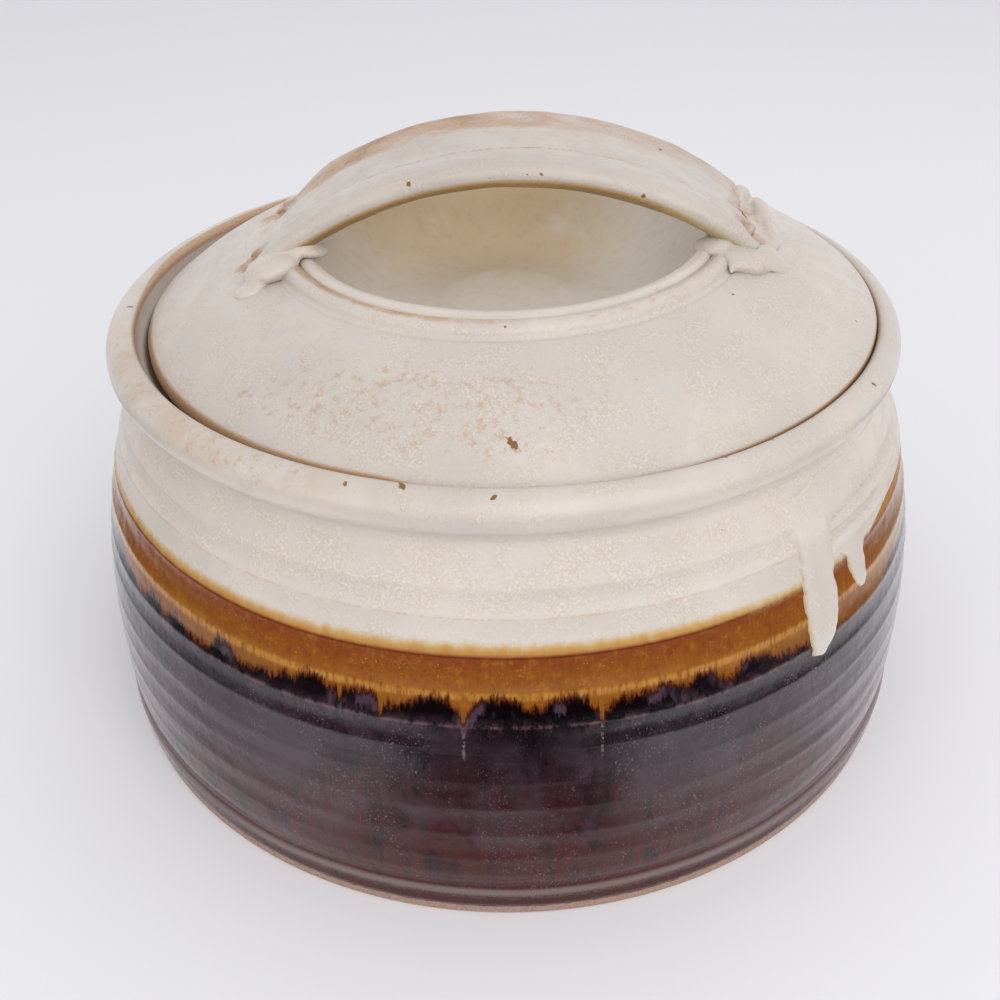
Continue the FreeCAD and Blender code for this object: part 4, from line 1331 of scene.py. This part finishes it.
class BEANPOT_OT_set_stage(bpy.types.Operator):
    """Lays the pale floor and sets the lamps and the camera"""
    bl_idname = "bean_pot.set_stage"
    bl_label = "Set Stage"

    def execute(self, context):
        studio = settings("studio")
        self.lay_floor(studio)
        self.lay_card()
        self.hang_lamps(studio)
        self.light_surround(studio)
        self.place_camera(studio)
        return {"FINISHED"}

    def lay_floor(self, studio):
        deselect()
        bpy.ops.mesh.primitive_circle_add(vertices=96, radius=6.0, fill_type="TRIFAN")
        floor = bpy.context.object
        floor.name = "studio_floor"
        material, tree = new_material("Floor")
        shader = tree.add("BsdfPrincipled")
        tone = tree.noise(tree.place(), 0.004, 2.0)
        tree.put(shader.inputs["Base Color"], tree.blend(tone, studio.floor, [0.98 * c for c in studio.floor]))
        shader.inputs["Roughness"].default_value = 0.9
        # painted light: the floor glows for glossy rays only, to brighten its reflection in the glaze
        shader.inputs["Emission Color"].default_value = (0.88, 0.93, 1.0, 1)
        glossy_ray_glow = tree.times(tree.add("LightPath").outputs["Is Glossy Ray"], studio.floor_gloss)
        tree.put(shader.inputs["Emission Strength"], glossy_ray_glow)
        tree.end(shader)
        floor.data.materials.append(material)

    def lay_card(self):
        """A dark card on the floor, at the front and the sides, which shows only in the gloss of the glaze: a
        painted dark reflection standing in for darker surroundings in front.
        """
        deselect()
        bpy.ops.mesh.primitive_circle_add(vertices=96, radius=1.7, fill_type="TRIFAN", location=(0, 0, MM))
        card = bpy.context.object
        card.name = "dark_card"
        bpy.ops.object.transform_apply(location=True, rotation=True, scale=True)
        material, tree = new_material("Dark card")
        x, y = tree.split(tree.place())[:2]
        front = tree.times(tree.step(tree.math("ABSOLUTE", x), 75.0, 35.0), tree.step(y, -100.0, -175.0))
        far = tree.times(tree.step(length_of(tree, x, y), 190.0, 275.0), tree.step(y, 160.0, 60.0))
        shader = tree.add("BsdfPrincipled")
        shader.inputs["Base Color"].default_value = (0.012, 0.011, 0.012, 1)
        shader.inputs["Roughness"].default_value = 1.0
        shader.inputs["Specular IOR Level"].default_value = 0.0
        tree.put(shader.inputs["Alpha"], tree.most(front, far))
        tree.end(shader)
        card.data.materials.append(material)
        for ray in ("camera", "diffuse", "shadow", "transmission", "volume_scatter"):
            setattr(card, "visible_" + ray, False)

    def hang_lamps(self, studio):
        for name, place, size, power in (("overhead", (0.3, 0.2, 1.2), 1.1, 0.3 * studio.lamp),
                                         ("front", (0.40, -1.05, 0.90), 1.2, 1.7 * studio.lamp),
                                         ("window", (-0.75, -0.85, 0.55), 0.35, 0.2 * studio.lamp)):
            deselect()
            bpy.ops.object.light_add(type="AREA", location=place)
            lamp = bpy.context.object
            lamp.name = name
            lamp.data.size = size
            lamp.data.energy = power
            aim = Vector((0, 0, 0.07)) - lamp.location
            lamp.rotation_euler = aim.to_track_quat("-Z", "Y").to_euler()

    def light_surround(self, studio):
        world = bpy.data.worlds.new("Surround")
        bpy.context.scene.world = world
        world.use_nodes = True
        world.node_tree.nodes.clear()
        tree = Tree(world.node_tree)
        light = tree.add("Background", (0.97, 0.98, 1.0), studio.sky)
        seen = tree.add("Background", (0.78, 0.765, 0.785), 1.0)
        rays = tree.add("LightPath").outputs
        shown = tree.most(rays["Is Camera Ray"], rays["Is Glossy Ray"])
        shown = tree.most(shown, rays["Is Transmission Ray"])
        tree.put(seen.inputs["Strength"], tree.scaled(rays["Is Glossy Ray"], 0.5, 1.0))
        mix = tree.add("MixShader", shown, light.outputs[0], seen.outputs[0])
        tree.end(mix, "OutputWorld")

    def place_camera(self, studio):
        deselect()
        bpy.ops.object.camera_add(location=studio.camera_place)
        camera = bpy.context.object
        camera.name = "camera"
        turn = Vector(studio.camera_aim).to_track_quat("-Z", "Y").to_matrix()
        roll = Matrix.Rotation(studio.camera_roll, 3, "Z")
        camera.rotation_euler = (turn @ roll).to_euler()
        camera.data.lens = studio.lens
        camera.data.sensor_width = 36.0
        bpy.context.scene.camera = camera
        bpy.context.scene.view_settings.view_transform = "Standard"


OPERATORS = (BEANPOT_OT_throw_pot, BEANPOT_OT_run_glaze, BEANPOT_OT_throw_lid, BEANPOT_OT_throw_well,
             BEANPOT_OT_pull_strap, BEANPOT_OT_press_lutings, BEANPOT_OT_set_stage)
SETTINGS = {"pot": PotSettings, "lid": LidSettings, "glaze": GlazeSettings, "studio": StudioSettings}


class BEANPOT_PT_panel(bpy.types.Panel):
    """Lists the settings and the steps of the bean pot"""
    bl_idname = "BEANPOT_PT_panel"
    bl_label = "Bean Pot"
    bl_space_type = "VIEW_3D"
    bl_region_type = "UI"
    bl_category = "Bean Pot"

    def draw(self, context):
        for name, group in SETTINGS.items():
            box = self.layout.box()
            box.label(text=name.capitalize())
            for key in group.__annotations__:
                box.prop(settings(name), key)
        for operator in OPERATORS:
            self.layout.operator(operator.bl_idname)


def register():
    for group in SETTINGS.values():
        bpy.utils.register_class(group)
    for name, group in SETTINGS.items():
        setattr(bpy.types.Scene, "bean_pot_" + name, PointerProperty(type=group))
    for operator in OPERATORS:
        bpy.utils.register_class(operator)
    bpy.utils.register_class(BEANPOT_PT_panel)


def unregister():
    bpy.utils.unregister_class(BEANPOT_PT_panel)
    for operator in reversed(OPERATORS):
        bpy.utils.unregister_class(operator)
    for name, group in reversed(SETTINGS.items()):
        delattr(bpy.types.Scene, "bean_pot_" + name)
        bpy.utils.unregister_class(group)


def main():
    register()
    make_spot_group()
    make_cream_group()
    bpy.ops.bean_pot.throw_pot()
    bpy.ops.bean_pot.run_glaze()
    bpy.ops.bean_pot.throw_lid()
    bpy.ops.bean_pot.throw_well()
    bpy.ops.bean_pot.pull_strap()
    bpy.ops.bean_pot.press_lutings()
    bpy.ops.bean_pot.set_stage()


if __name__ == "__main__":
    main()
